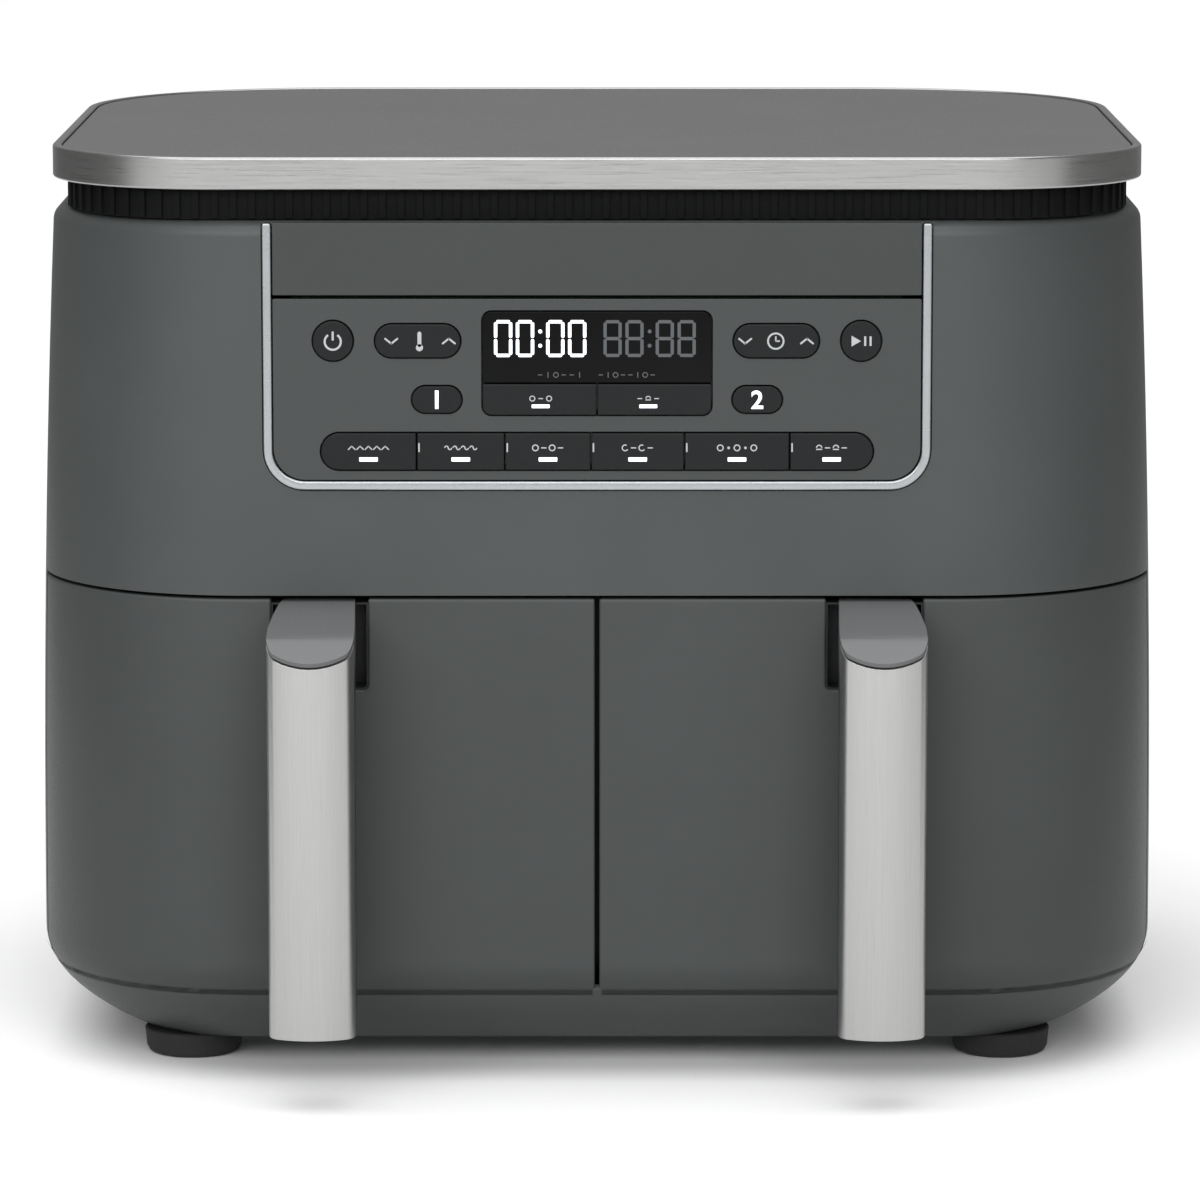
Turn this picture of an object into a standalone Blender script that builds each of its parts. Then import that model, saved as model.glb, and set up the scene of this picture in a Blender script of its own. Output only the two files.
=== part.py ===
"""Two-drawer air fryer, modelled as its separate pieces.

Metres, +Z up. The front faces -Y and X runs across it. The origin is on the table under the middle of
the overall box. Everything on the left drawer is a mirror image of what is on the right one.
"""

import math

import bmesh
import bpy
from mathutils import Matrix, Vector

# Overall sizes
BODY_WIDTH = 0.385
OVERALL_DEPTH = 0.358
OVERALL_HEIGHT = 0.315
HANDLE_REACH = 0.046  # from the front face to the front of the handles
REAR_COVER_DEPTH = 0.010

# Housing
WALL = 0.003
FRONT_RADIUS = 0.072
REAR_RADIUS = 0.075
SIDE_TAPER = 0.0061  # how far each side leans in by the top
UPPER_HEIGHT = 0.1262  # from the seam over the drawers to the deck
DECK_WIDTH = 0.018
SHUT_LINE = 0.0015
FIT_GAP = 0.0003  # between pieces that rest on each other
CURVE_GAP = 0.0009  # between curved walls that follow each other

# Base
FOOT_HEIGHT = 0.0090
FOOT_RADIUS = 0.0170
FOOT_INSET_X = 0.0525
FOOT_INSET_Y = 0.051
BASE_WALL = 0.0025
BASE_RIM = 0.0185  # height of the base above the feet
BASE_DRAW_IN = 0.0310  # of the body's sides, at the feet
BASE_CURVE_HEIGHT = 0.0330  # from the feet up to where the sides are straight
BASE_POWER = 2.15
BASE_STEPS = 6

# Lid and vent
LID_HEIGHT = 0.0110
LID_OVERHANG = 0.0050  # past the vent band
LID_INSET_SIDE = 0.0070
LID_INSET_REAR = 0.0060
LID_FRONT_RADIUS = 0.058
LID_REAR_RADIUS = 0.088
LID_LIP = 0.0030
LID_LEDGE = 0.0130
VENT_HEIGHT = 0.0106
VENT_WALL = 0.0025

# Control panel
PANEL_MARGIN = 0.0089  # from the panel to where the front starts to curve
PANEL_HEIGHT = 0.0900
PANEL_RADIUS = 0.0140
TRIM_WIDTH = 0.0031
TRIM_PROUD = 0.0010
FASCIA_THICKNESS = 0.0025
FASCIA_PROUD = 0.0002
UPPER_FASCIA_HEIGHT = 0.0245
BOARD_SETBACK = 0.0088
BOARD_THICKNESS = 0.0016

# Keys
KEY_PROUD = 0.0007
KEY_GAP = 0.0004
KEY_TRAVEL = 0.0008
KEY_FLANGE = 0.0010
ROCKER_PLAY = 0.0010  # behind the fascia, so that a rocker can tilt
ROUND_KEY_RADIUS = 0.0067
ROCKER_SIZE = (0.0285, 0.0112)
ZONE_KEY_SIZE = (0.0166, 0.0090)
DISPLAY_WIDTH = 0.0764
DISPLAY_HEIGHT = 0.0239
MODE_KEY_HEIGHT = 0.0104
STRIP_HEIGHT = 0.0124
STRIP_MARGIN = 0.0157
STRIP_SPLITS = (-0.0603, -0.0308, -0.0020, 0.0292, 0.0644)  # between one function key and the next

# Drawers
FASCIA_DEPTH = 0.014
DRAWER_BACK = 0.0020
DRAWER_END_Y = 0.0565  # from the front face to where a drawer front ends on the side
DRAWER_GAP = 0.0010  # in front of the frame
FRAME_WALL = 0.0025
CENTRE_GAP = 0.0055  # from the middle to a cavity liner
CAVITY_WIDTH = 0.1625
LINER_WALL = 0.0010
BASKET_GAP = 0.0035  # each side of a basket in its liner
BASKET_WALL = 0.0018
BASKET_RADIUS = 0.034
BASKET_TAPER = 0.003
BASKET_SETBACK = 0.0075  # from the back of the drawer front to the basket
PLATE_HEIGHT = 0.011  # of the crisper plate above the basket's floor
PLATE_THICKNESS = 0.0020
PLATE_GAP = 0.0015

# Handles
HANDLE_OFFSET = 0.0948  # from the middle of the front to the middle of a grip
HANDLE_WIDTH = 0.029
NECK_OFFSET = 0.0016  # how much nearer the middle a neck's root and its pocket are
HANDLE_NECK = 0.0224
HANDLE_DEPTH = 0.016
HANDLE_BOTTOM = 0.0250
HANDLE_DROP = 0.0148  # from the seam to the top of the cover
COVER_THICKNESS = 0.0012
COVER_WRAP = 0.0095
POCKET_WIDTH = 0.0326
POCKET_HEIGHT = 0.031
POCKET_WALL = 0.0030

# Heating and air
DOME_MARGIN = 0.00775  # from a heat shield's dome to the side of its cavity
DOME_HEIGHT = 0.043
DOME_FLANGE = 0.005
HEATER_RADIUS = 0.0032
HEATER_INNER = 0.040
HEATER_MARGIN = 0.0125  # from the coil to the dome round it
RIB_MARGIN = 0.03625  # from a cavity's side to the rib that carries it
RIB_SETBACK = 0.008  # from the end of a drawer front to the ribs
HEATER_TURNS = 2
FAN_MARGIN = 0.0185  # from the blades' tips to the dome round them
FAN_HEIGHT = 0.012
COOLING_FAN_RADIUS = 0.044
SHAFT_RADIUS = 0.0030
MOTOR_RADIUS = 0.029
MOTOR_HEIGHT = 0.0437

# Rear
REAR_COVER_SIZE = (0.164, 0.085)
EXHAUST_SLOTS = 8
GLAND_RADIUS = 0.0088
CORD_HOLE = 0.0038

# How round things are drawn
CORNER_STEPS = 7
ROUND_STEPS = 24

# Places that follow from the sizes
HALF_WIDTH = BODY_WIDTH / 2
FRONT_Y = -OVERALL_DEPTH / 2 + HANDLE_REACH
REAR_Y = OVERALL_DEPTH / 2 - REAR_COVER_DEPTH
DECK_Z = OVERALL_HEIGHT - LID_HEIGHT - VENT_HEIGHT
SEAM_Z = DECK_Z - UPPER_HEIGHT
HOUSING_BOTTOM = FOOT_HEIGHT + BASE_RIM + FIT_GAP
DRAWER_BOTTOM = FOOT_HEIGHT + BASE_RIM + SHUT_LINE
DRAWER_TOP = SEAM_Z - SHUT_LINE / 2
DRAWER_END = FRONT_Y + DRAWER_END_Y
CURVE_TOP = FOOT_HEIGHT + BASE_CURVE_HEIGHT
FRAME_OFFSET = FASCIA_DEPTH + CURVE_GAP + DRAWER_BACK + DRAWER_GAP
FRAME_BACK = FRONT_Y + FRAME_OFFSET + FRAME_WALL
LINER_BOTTOM = FOOT_HEIGHT + BASE_RIM + 0.0050
LINER_TOP = SEAM_Z - 0.0102
LINER_REAR = REAR_Y - 0.047
CAVITY_X = CENTRE_GAP + CAVITY_WIDTH / 2
RIB_REACH = CAVITY_WIDTH / 2 - RIB_MARGIN
RIB_FRONT = DRAWER_END + RIB_SETBACK
CAVITY_OUT = CENTRE_GAP + CAVITY_WIDTH
BASKET_FRONT = FRONT_Y + FASCIA_DEPTH + CURVE_GAP + DRAWER_BACK + BASKET_SETBACK
BASKET_REAR = LINER_REAR - 0.009
BASKET_BOTTOM = LINER_BOTTOM + 0.0025
BASKET_TOP = LINER_TOP - 0.007
BASKET_HALF = CAVITY_WIDTH / 2 - LINER_WALL - BASKET_GAP
POCKET_X = HANDLE_OFFSET - NECK_OFFSET
COVER_TOP = SEAM_Z - HANDLE_DROP
PANEL_HALF = HALF_WIDTH - FRONT_RADIUS - PANEL_MARGIN
PANEL_BOTTOM = DECK_Z - PANEL_HEIGHT
PANEL_INNER = PANEL_HALF - TRIM_WIDTH - FIT_GAP
FAN_Y = (BASKET_FRONT + BASKET_REAR) / 2
DOME_TOP = LINER_TOP + FIT_GAP + DOME_HEIGHT
DOME_RADIUS = CAVITY_WIDTH / 2 - DOME_MARGIN
HEATER_OUTER = DOME_RADIUS - HEATER_MARGIN
FAN_RADIUS = DOME_RADIUS - FAN_MARGIN

# Colours as linear RGB, with roughness and metallic value
FINISHES = {
    "housing_grey": ((0.085, 0.088, 0.087), 0.45, 0.0),
    "panel_grey": ((0.075, 0.077, 0.077), 0.35, 0.0),
    "black_plastic": ((0.012, 0.012, 0.013), 0.5, 0.0),
    "key_black": ((0.025, 0.025, 0.027), 0.3, 0.0),
    "brushed_steel": ((0.60, 0.60, 0.60), 0.3, 1.0),
    "chrome": ((0.75, 0.75, 0.75), 0.12, 1.0),
    "neck_grey": ((0.16, 0.16, 0.16), 0.5, 0.0),
    "lid_grey": ((0.17, 0.17, 0.17), 0.5, 0.0),
    "rubber": ((0.015, 0.015, 0.015), 0.8, 0.0),
    "nonstick": ((0.03, 0.03, 0.032), 0.4, 0.3),
    "galvanised": ((0.45, 0.46, 0.47), 0.4, 1.0),
    "heater_metal": ((0.12, 0.11, 0.10), 0.5, 0.8),
    "board_green": ((0.02, 0.12, 0.05), 0.5, 0.0),
    "display_glass": ((0.008, 0.008, 0.010), 0.08, 0.0),
}


def clear_scene():
    for old in list(bpy.data.objects):
        bpy.data.objects.remove(old, do_unlink=True)


def finish_material(slot):
    """The Principled material of this slot, made once."""
    found = bpy.data.materials.get(slot)
    if found:
        return found
    colour, roughness, metallic = FINISHES[slot]
    made = bpy.data.materials.new(slot)
    made.use_nodes = True
    shader = made.node_tree.nodes["Principled BSDF"]
    shader.inputs["Base Color"].default_value = (*colour, 1.0)
    shader.inputs["Roughness"].default_value = roughness
    shader.inputs["Metallic"].default_value = metallic
    return made


def piece(name, mesh_builder, slot):
    """Turns a bmesh into a named object. A name without a slot makes a hidden cutter or a shape to join."""
    bmesh.ops.recalc_face_normals(mesh_builder, faces=mesh_builder.faces)
    mesh = bpy.data.meshes.new(name)
    mesh_builder.to_mesh(mesh)
    mesh_builder.free()
    made = bpy.data.objects.new(name, mesh)
    bpy.context.scene.collection.objects.link(made)
    if slot is None:
        made.hide_render = True
        made.display_type = "WIRE"
    else:
        mesh.materials.append(finish_material(slot))
        mesh.shade_smooth()
        mesh.set_sharp_from_angle(angle=math.radians(35))
    return made


def combine(target, tool, operation):
    """Adds an exact Boolean with a hidden tool to the target."""
    step = target.modifiers.new(tool.name, "BOOLEAN")
    step.object = tool
    step.operation = operation
    step.solver = "EXACT"
    tool.parent = target
    return target


def cut(target, tool):
    return combine(target, tool, "DIFFERENCE")


def join(target, tool):
    return combine(target, tool, "UNION")


def loft(name, rings, slot, closed=False):
    """Skins rings of equally many points, and closes the ends with caps or by joining the last to the first."""
    builder = bmesh.new()
    rows = [[builder.verts.new(point) for point in ring] for ring in rings]
    pairs = list(zip(rows, rows[1:]))
    if closed:
        pairs.append((rows[-1], rows[0]))
    for low, high in pairs:
        for i, corner in enumerate(low):
            after = (i + 1) % len(low)
            builder.faces.new((corner, low[after], high[after], high[i]))
    if not closed:
        builder.faces.new(list(reversed(rows[0])))
        builder.faces.new(rows[-1])
    return piece(name, builder, slot)


def upright(outline, z):
    """A plan outline at a height."""
    return [Vector((x, y, z)) for x, y in outline]


def facing(outline, y):
    """An outline drawn on the front, as (x, z) points, at a depth."""
    return [Vector((x, y, z)) for x, z in outline]


def prism(name, outline, low, high, slot, place=upright):
    return loft(name, [place(outline, low), place(outline, high)], slot)


def block(name, low, high, slot):
    """A box from its lowest to its highest corner."""
    outline = [(low[0], low[1]), (high[0], low[1]), (high[0], high[1]), (low[0], high[1])]
    return prism(name, outline, low[2], high[2], slot)


def blocks(name, corners, slot):
    """Several separate boxes in one hidden tool."""
    builder = bmesh.new()
    for low, high in corners:
        made = bmesh.ops.create_cube(builder, size=1.0)["verts"]
        size = [high[k] - low[k] for k in range(3)]
        centre = [(high[k] + low[k]) / 2 for k in range(3)]
        bmesh.ops.scale(builder, vec=size, verts=made)
        bmesh.ops.translate(builder, vec=centre, verts=made)
    return piece(name, builder, slot)


def turned(name, profile, centre, slot, steps=ROUND_STEPS, closed=True, along="Z"):
    """Spins a profile of (radius, height) points round an upright axis, or round one that runs along Y."""
    builder = bmesh.new()
    corners = [builder.verts.new((r, 0, h)) for r, h in profile]
    edges = [builder.edges.new(pair) for pair in zip(corners, corners[1:])]
    if closed:
        edges.append(builder.edges.new((corners[-1], corners[0])))
    bmesh.ops.spin(
        builder,
        geom=corners + edges,
        axis=(0, 0, 1),
        cent=(0, 0, 0),
        steps=steps,
        angle=2 * math.pi,
        use_merge=True,
    )
    bmesh.ops.remove_doubles(builder, verts=builder.verts, dist=1e-6)
    if along == "Y":
        for corner in builder.verts:
            corner.co = Vector((corner.co.x, corner.co.z, -corner.co.y))
    bmesh.ops.translate(builder, vec=centre, verts=builder.verts)
    return piece(name, builder, slot)


def arc(centre, radius, start, end, steps):
    """Points along an arc, with angles in degrees."""
    angles = [math.radians(start + (end - start) * i / steps) for i in range(steps + 1)]
    return [(centre[0] + radius * math.cos(a), centre[1] + radius * math.sin(a)) for a in angles]


def rounded_box(low, high, radii, steps=CORNER_STEPS):
    """A rectangle with its own radius at each corner: low-low, high-low, high-high, low-high."""
    a, b, c, d = radii
    return [
        *arc((low[0] + a, low[1] + a), a, 180, 270, steps),
        *arc((high[0] - b, low[1] + b), b, 270, 360, steps),
        *arc((high[0] - c, high[1] - c), c, 0, 90, steps),
        *arc((low[0] + d, high[1] - d), d, 90, 180, steps),
    ]


def base_inset(z):
    """How far the body is drawn in at a height, towards the feet."""
    share = (z - FOOT_HEIGHT) / BASE_CURVE_HEIGHT
    return BASE_DRAW_IN * (1 - min(1.0, share)) ** BASE_POWER


def half_width(z):
    """Half the body's width at a height: drawn in at the base, and leaning in towards the top."""
    rise = max(0.0, (z - CURVE_TOP) / (DECK_Z - CURVE_TOP))
    return HALF_WIDTH - base_inset(z) - SIDE_TAPER * rise**2


def body_outline(z, offset=0.0):
    """The body's plan at a height, drawn in by an offset."""
    draw_in = base_inset(z) + offset
    half = half_width(z) - offset
    front = max(FRONT_RADIUS - draw_in, WALL)
    rear = max(REAR_RADIUS - draw_in, WALL)
    low, high = (-half, FRONT_Y + draw_in), (half, REAR_Y - draw_in)
    return rounded_box(low, high, (front, front, rear, rear))


def body_ring(z, offset=0.0, height=None):
    """The body's outline at z, placed there or at another height."""
    return upright(body_outline(z, offset), z if height is None else height)


def lid_outline(offset=0.0):
    half = HALF_WIDTH - LID_INSET_SIDE - offset
    front, rear = LID_FRONT_RADIUS - offset, LID_REAR_RADIUS - offset
    low, high = (-half, FRONT_Y + offset), (half, REAR_Y - LID_INSET_REAR - offset)
    return rounded_box(low, high, (front, front, rear, rear))


def front_curve(z, offset, end_y):
    """The right half of the body's front at a height: from its flat part round to end_y on the side."""
    draw_in = base_inset(z) + offset
    radius = FRONT_RADIUS - draw_in
    centre = (half_width(z) - offset - radius, FRONT_Y + draw_in + radius)
    turn = math.degrees(math.asin(max(-1.0, min(0.0, (end_y - centre[1]) / radius))))
    return arc(centre, radius, -90, turn, CORNER_STEPS)


def mirrored(points):
    return [(-x, y) for x, y in reversed(points)]


def drawer_section(z, outer, inner, start_x, end_y):
    """A band behind the front between two offsets, from start_x round to end_y."""
    front = front_curve(z, outer, end_y)
    back = front_curve(z, inner, end_y)
    return [(start_x, front[0][1]), *front, *reversed(back), (start_x, back[0][1])]


def body_levels(low, high):
    """Heights between two limits at which the body's shape changes."""
    marks = [FOOT_HEIGHT + BASE_CURVE_HEIGHT * i / BASE_STEPS for i in range(BASE_STEPS + 1)]
    marks += [CURVE_TOP + (DECK_Z - CURVE_TOP) * share for share in (0.25, 0.5, 0.7, 0.85)]
    return [low, *[z for z in marks if low + 0.001 < z < high - 0.001], high]


def both_sides(build):
    """Builds a piece on the right, then its mirror image on the left."""
    for side, sign in (("right", 1), ("left", -1)):
        build(side, sign)


def sided(outline, sign):
    """An outline as it is on the right, or mirrored for the left."""
    return outline if sign > 0 else mirrored(outline)


def span(low, high, sign):
    """A range across X on the right, or its mirror image on the left."""
    return (low, high) if sign > 0 else (-high, -low)


# Base, feet and housing


def make_base():
    rim = FOOT_HEIGHT + BASE_RIM
    floor = FOOT_HEIGHT + BASE_WALL + 0.001
    outer = body_levels(FOOT_HEIGHT, rim)
    inner = [z for z in reversed(outer) if z > floor + 0.001]
    rings = [body_ring(z) for z in outer]
    rings += [body_ring(z, BASE_WALL) for z in inner]
    rings.append(body_ring(floor, BASE_WALL + 0.0015))
    base = loft("base_tray", rings, "housing_grey")
    ribs = []
    for centre in (CAVITY_X - RIB_REACH, CAVITY_X + RIB_REACH):
        for sign in (1, -1):
            x0, x1 = span(centre - 0.0015, centre + 0.0015, sign)
            high = (x1, LINER_REAR, LINER_BOTTOM - FIT_GAP)
            ribs.append(((x0, RIB_FRONT, FOOT_HEIGHT + 0.001), high))
    return join(base, blocks("base_ribs", ribs, None))


def make_feet():
    top = FOOT_HEIGHT - FIT_GAP
    profile = [
        (0, 0),
        (FOOT_RADIUS - 0.003, 0),
        (FOOT_RADIUS - 0.001, 0.0015),
        (FOOT_RADIUS, top),
        (0, top),
    ]
    for end, y in (("front", FRONT_Y + FOOT_INSET_Y), ("rear", REAR_Y - FOOT_INSET_Y)):
        for side, sign in (("right", 1), ("left", -1)):
            centre = (sign * (HALF_WIDTH - FOOT_INSET_X), y, 0)
            turned(f"foot_{end}_{side}", profile, centre, "rubber", steps=16, closed=False)


def make_housing():
    wall_top = DECK_Z - WALL
    shoulder = DECK_Z - 0.0049
    outer = body_levels(HOUSING_BOTTOM, shoulder)
    rings = [body_ring(z) for z in outer]
    rings += [
        body_ring(shoulder, offset, DECK_Z - drop)
        for offset, drop in ((0.0012, 0.0019), (0.0032, 0.0004), (0.0056, 0.0), (DECK_WIDTH, 0.0))
    ]
    rings.append(body_ring(shoulder, DECK_WIDTH, wall_top))
    rings.append(body_ring(shoulder, WALL, wall_top))
    rings += [body_ring(z, WALL) for z in reversed(outer)]
    housing = loft("housing_shell", rings, "housing_grey", closed=True)

    reach = BODY_WIDTH
    low = (-reach, FRONT_Y - 0.05, -0.01)
    high = (reach, DRAWER_END + SHUT_LINE, SEAM_Z + SHUT_LINE / 4)
    cut(housing, block("drawer_opening", low, high, None))

    half = PANEL_HALF + FIT_GAP
    radius = PANEL_RADIUS + FIT_GAP
    outline = rounded_box(
        (-half, PANEL_BOTTOM - FIT_GAP), (half, DECK_Z + 0.02), (radius, radius, 0.001, 0.001)
    )
    notch = (FRONT_Y - 0.05, FRONT_Y + WALL + 0.0004)
    cut(housing, prism("panel_notch", outline, *notch, None, facing))

    exhaust_z = rear_cover_z()
    half = REAR_COVER_SIZE[0] / 2 - 0.010
    low = (-half, REAR_Y - 0.02, exhaust_z[0] + 0.010)
    high = (half, REAR_Y + 0.02, exhaust_z[1] - 0.010)
    cut(housing, block("exhaust_opening", low, high, None))
    hole = GLAND_RADIUS + FIT_GAP
    profile = [(0, -0.02), (hole, -0.02), (hole, 0.02), (0, 0.02)]
    cut(housing, turned("gland_hole", profile, gland_place(), None, 16, False, "Y"))


def rear_cover_z():
    """Lowest and highest height of the rear cover, centred on the upper housing."""
    middle = (SEAM_Z + DECK_Z) / 2
    return middle - REAR_COVER_SIZE[1] / 2, middle + REAR_COVER_SIZE[1] / 2


def gland_place():
    """Where the mains cord's gland sits in the back wall."""
    return (-(HALF_WIDTH - REAR_RADIUS - 0.022), REAR_Y, FOOT_HEIGHT + 0.050)


def make_frame():
    """The black frame that the drawers shut against: a wall with two windows between two shelves."""
    low, high = FOOT_HEIGHT + BASE_RIM - 0.0025, SEAM_Z + 0.0073
    jamb_front = DRAWER_END + 0.0030
    jamb_back = jamb_front + FRAME_WALL
    rings = []
    for z in body_levels(low, high):
        reach = front_curve(z, max(WALL, BASE_WALL) + CURVE_GAP, jamb_front)[-1][0]
        right = [
            *front_curve(z, FRAME_OFFSET, jamb_front),
            (reach, jamb_front),
            (reach, jamb_back),
            *reversed(front_curve(z, FRAME_OFFSET + FRAME_WALL, jamb_back)),
        ]
        turn = len(right) // 2
        outer, inner = right[:turn], right[turn:]
        outline = mirrored(outer) + outer + inner + mirrored(inner)
        rings.append(upright(outline, z))
    frame = loft("front_frame", rings, "black_plastic")
    shelf_end = FAN_Y - DOME_RADIUS - DOME_FLANGE - FIT_GAP
    for name, shelf_low, shelf_high, end in (
        ("lower_shelf", low, low + 0.0023, min(shelf_end, RIB_FRONT - FIT_GAP)),
        ("upper_shelf", high - 0.0035, high, shelf_end),
    ):
        curve = front_curve(shelf_low, WALL + CURVE_GAP, end)
        join(frame, prism(name, mirrored(curve) + curve, shelf_low, shelf_high, None))
    windows = []
    for sign in (1, -1):
        x0, x1 = span(CENTRE_GAP + LINER_WALL + 0.001, CAVITY_OUT - LINER_WALL - 0.001, sign)
        corner = (x1, FRAME_BACK + 0.05, LINER_TOP - LINER_WALL - 0.0015)
        windows.append(((x0, FRONT_Y - 0.02, LINER_BOTTOM - 0.0002), corner))
    cut(frame, blocks("frame_windows", windows, None))


# Lid, vent band and rear


def make_lid():
    top, bottom = OVERALL_HEIGHT, OVERALL_HEIGHT - LID_HEIGHT
    seat = top - 0.0043
    section = [
        (0.0, bottom),
        (0.0, top - 0.0006),
        (0.0006, top),
        (LID_LIP, top),
        (LID_LIP, seat),
        (LID_LEDGE, seat),
        (LID_LEDGE, seat - 0.0032),
        (LID_LIP, seat - 0.0032),
        (LID_LIP, bottom),
    ]
    rings = [upright(lid_outline(offset), z) for offset, z in section]
    loft("lid_rim", rings, "brushed_steel", closed=True)
    edge = LID_LIP + FIT_GAP
    plate = [(edge, seat + FIT_GAP), (edge, top - 0.0010), (edge + 0.0006, top - 0.0004)]
    loft("top_plate", [upright(lid_outline(offset), z) for offset, z in plate], "lid_grey")


def make_vent_band():
    low, high = DECK_Z + FIT_GAP, OVERALL_HEIGHT - LID_HEIGHT - FIT_GAP
    outer, inner = LID_OVERHANG, LID_OVERHANG + VENT_WALL
    corners = [(outer, low), (outer, high), (inner, high), (inner, low)]
    rings = [upright(lid_outline(offset), z) for offset, z in corners]
    loft("vent_band", rings, "black_plastic", closed=True)


def make_rear_cover():
    half = REAR_COVER_SIZE[0] / 2
    low_z, high_z = rear_cover_z()
    face = OVERALL_DEPTH / 2
    seat = REAR_Y + FIT_GAP
    outline = rounded_box((-half, low_z), (half, high_z), (0.008,) * 4, 4)
    inside = rounded_box(
        (-half + 0.002, low_z + 0.002), (half - 0.002, high_z - 0.002), (0.006,) * 4, 4
    )
    rings = [facing(inside, face - 0.002), facing(inside, seat), facing(outline, seat)]
    rings.append(facing(outline, face))
    cover = loft("rear_cover", rings, "black_plastic")
    pitch = (REAR_COVER_SIZE[1] - 0.016) / EXHAUST_SLOTS
    slots = []
    for i in range(EXHAUST_SLOTS):
        z = low_z + 0.008 + pitch * (i + 0.5)
        corner = (half - 0.014, face + 0.01, z + pitch * 0.22)
        slots.append(((-half + 0.014, face - 0.004, z - pitch * 0.22), corner))
    cut(cover, blocks("exhaust_slots", slots, None))


def make_gland():
    reach = REAR_COVER_DEPTH - 0.0005
    profile = [
        (CORD_HOLE, -0.0035),
        (GLAND_RADIUS, -0.0035),
        (GLAND_RADIUS, FIT_GAP),
        (GLAND_RADIUS + 0.0037, FIT_GAP),
        (GLAND_RADIUS + 0.0037, 0.0030),
        (GLAND_RADIUS - 0.0015, reach),
        (CORD_HOLE, reach),
    ]
    turned("cord_gland", profile, gland_place(), "rubber", steps=16, along="Y")


# Control panel


def make_trim():
    outer_half, inner_half = PANEL_HALF, PANEL_HALF - TRIM_WIDTH
    top = DECK_Z - FIT_GAP
    low, inner_low = PANEL_BOTTOM, PANEL_BOTTOM + TRIM_WIDTH
    inner_radius = PANEL_RADIUS - TRIM_WIDTH
    outline = [
        (-outer_half, top),
        *arc((-outer_half + PANEL_RADIUS, low + PANEL_RADIUS), PANEL_RADIUS, 180, 270, CORNER_STEPS),
        *arc((outer_half - PANEL_RADIUS, low + PANEL_RADIUS), PANEL_RADIUS, 270, 360, CORNER_STEPS),
        (outer_half, top),
        (inner_half, top),
        *arc((inner_half - inner_radius, inner_low + inner_radius), inner_radius, 0, -90, CORNER_STEPS),
        *arc((-inner_half + inner_radius, inner_low + inner_radius), inner_radius, 270, 180, CORNER_STEPS),
        (-inner_half, top),
    ]
    prism("panel_trim", outline, FRONT_Y - TRIM_PROUD, FRONT_Y + WALL + 0.0001, "chrome", facing)


def panel_rows():
    """Heights of the panel's rows, from the seam under the upper fascia to the strip of function keys."""
    split = DECK_Z - UPPER_FASCIA_HEIGHT - 0.0008
    display_top = split - 0.0046
    display_low = display_top - DISPLAY_HEIGHT
    mode_top = display_low - KEY_GAP
    strip_low = PANEL_BOTTOM + 0.0069
    return {
        "split": split,
        "row_one": display_top - 0.0098,
        "display": (display_low, display_top),
        "modes": (mode_top - MODE_KEY_HEIGHT, mode_top),
        "zones": mode_top - MODE_KEY_HEIGHT / 2,
        "strip": (strip_low, strip_low + STRIP_HEIGHT),
    }


def panel_columns():
    """Distances of the keys from the middle of the panel."""
    round_key = PANEL_INNER - 0.0201
    display_edge = DISPLAY_WIDTH / 2
    rocker = (round_key - ROUND_KEY_RADIUS + display_edge) / 2
    return {"round": round_key, "rocker": rocker, "zone": display_edge + 0.0153}


def centred(x, z, size, radius, steps=4):
    """A rounded rectangle of (width, height) about a point of the panel."""
    low, high = (x - size[0] / 2, z - size[1] / 2), (x + size[0] / 2, z + size[1] / 2)
    return rounded_box(low, high, (radius,) * 4, steps)


def key_shapes():
    """Every key's name, centre, size, corner radii and whether its flange runs all round."""
    rows, columns = panel_rows(), panel_columns()
    round_size = (2 * ROUND_KEY_RADIUS, 2 * ROUND_KEY_RADIUS)
    shapes = []

    def add(name, x, z, size, radii, ends=True):
        shapes.append({"name": name, "x": x, "z": z, "size": size, "radii": radii, "ends": ends})

    row = rows["row_one"]
    add("power_key", -columns["round"], row, round_size, (ROUND_KEY_RADIUS,) * 4)
    add("start_key", columns["round"], row, round_size, (ROUND_KEY_RADIUS,) * 4)
    for name, sign in (("temperature_rocker", -1), ("time_rocker", 1)):
        add(name, sign * columns["rocker"], row, ROCKER_SIZE, (ROCKER_SIZE[1] / 2,) * 4)
    for name, sign in (("zone_one_key", -1), ("zone_two_key", 1)):
        radius = ZONE_KEY_SIZE[1] / 2
        add(name, sign * columns["zone"], rows["zones"], ZONE_KEY_SIZE, (radius,) * 4)
    mode_size = ((DISPLAY_WIDTH - KEY_GAP) / 2, MODE_KEY_HEIGHT)
    mode_x = (DISPLAY_WIDTH + KEY_GAP) / 4
    corner, square = 0.0030, 0.0004
    for name, sign in (("sync_key", -1), ("match_key", 1)):
        radii = (corner, square, square, square) if sign < 0 else (square, corner, square, square)
        add(name, sign * mode_x, rows["zones"], mode_size, radii, False)
    strip_half = PANEL_INNER - STRIP_MARGIN
    edges = [-strip_half, *STRIP_SPLITS, strip_half]
    strip_z = sum(rows["strip"]) / 2
    end_radius = STRIP_HEIGHT / 2
    for i, (low, high) in enumerate(zip(edges, edges[1:])):
        left = end_radius if i == 0 else square
        right = end_radius if high == strip_half else square
        size = (high - low - KEY_GAP, STRIP_HEIGHT)
        add(f"function_key_{i + 1}", (low + high) / 2, strip_z, size, (left, right, right, left), False)
    return shapes


def grown(shape, by_x, by_z):
    """A key's outline, larger by a margin across and up. Its corners grow with it."""
    half = (shape["size"][0] / 2 + by_x, shape["size"][1] / 2 + by_z)
    low = (shape["x"] - half[0], shape["z"] - half[1])
    high = (shape["x"] + half[0], shape["z"] + half[1])
    margin = min(by_x, by_z)
    return rounded_box(low, high, [max(r + margin, 0.0002) for r in shape["radii"]], 3)


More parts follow.
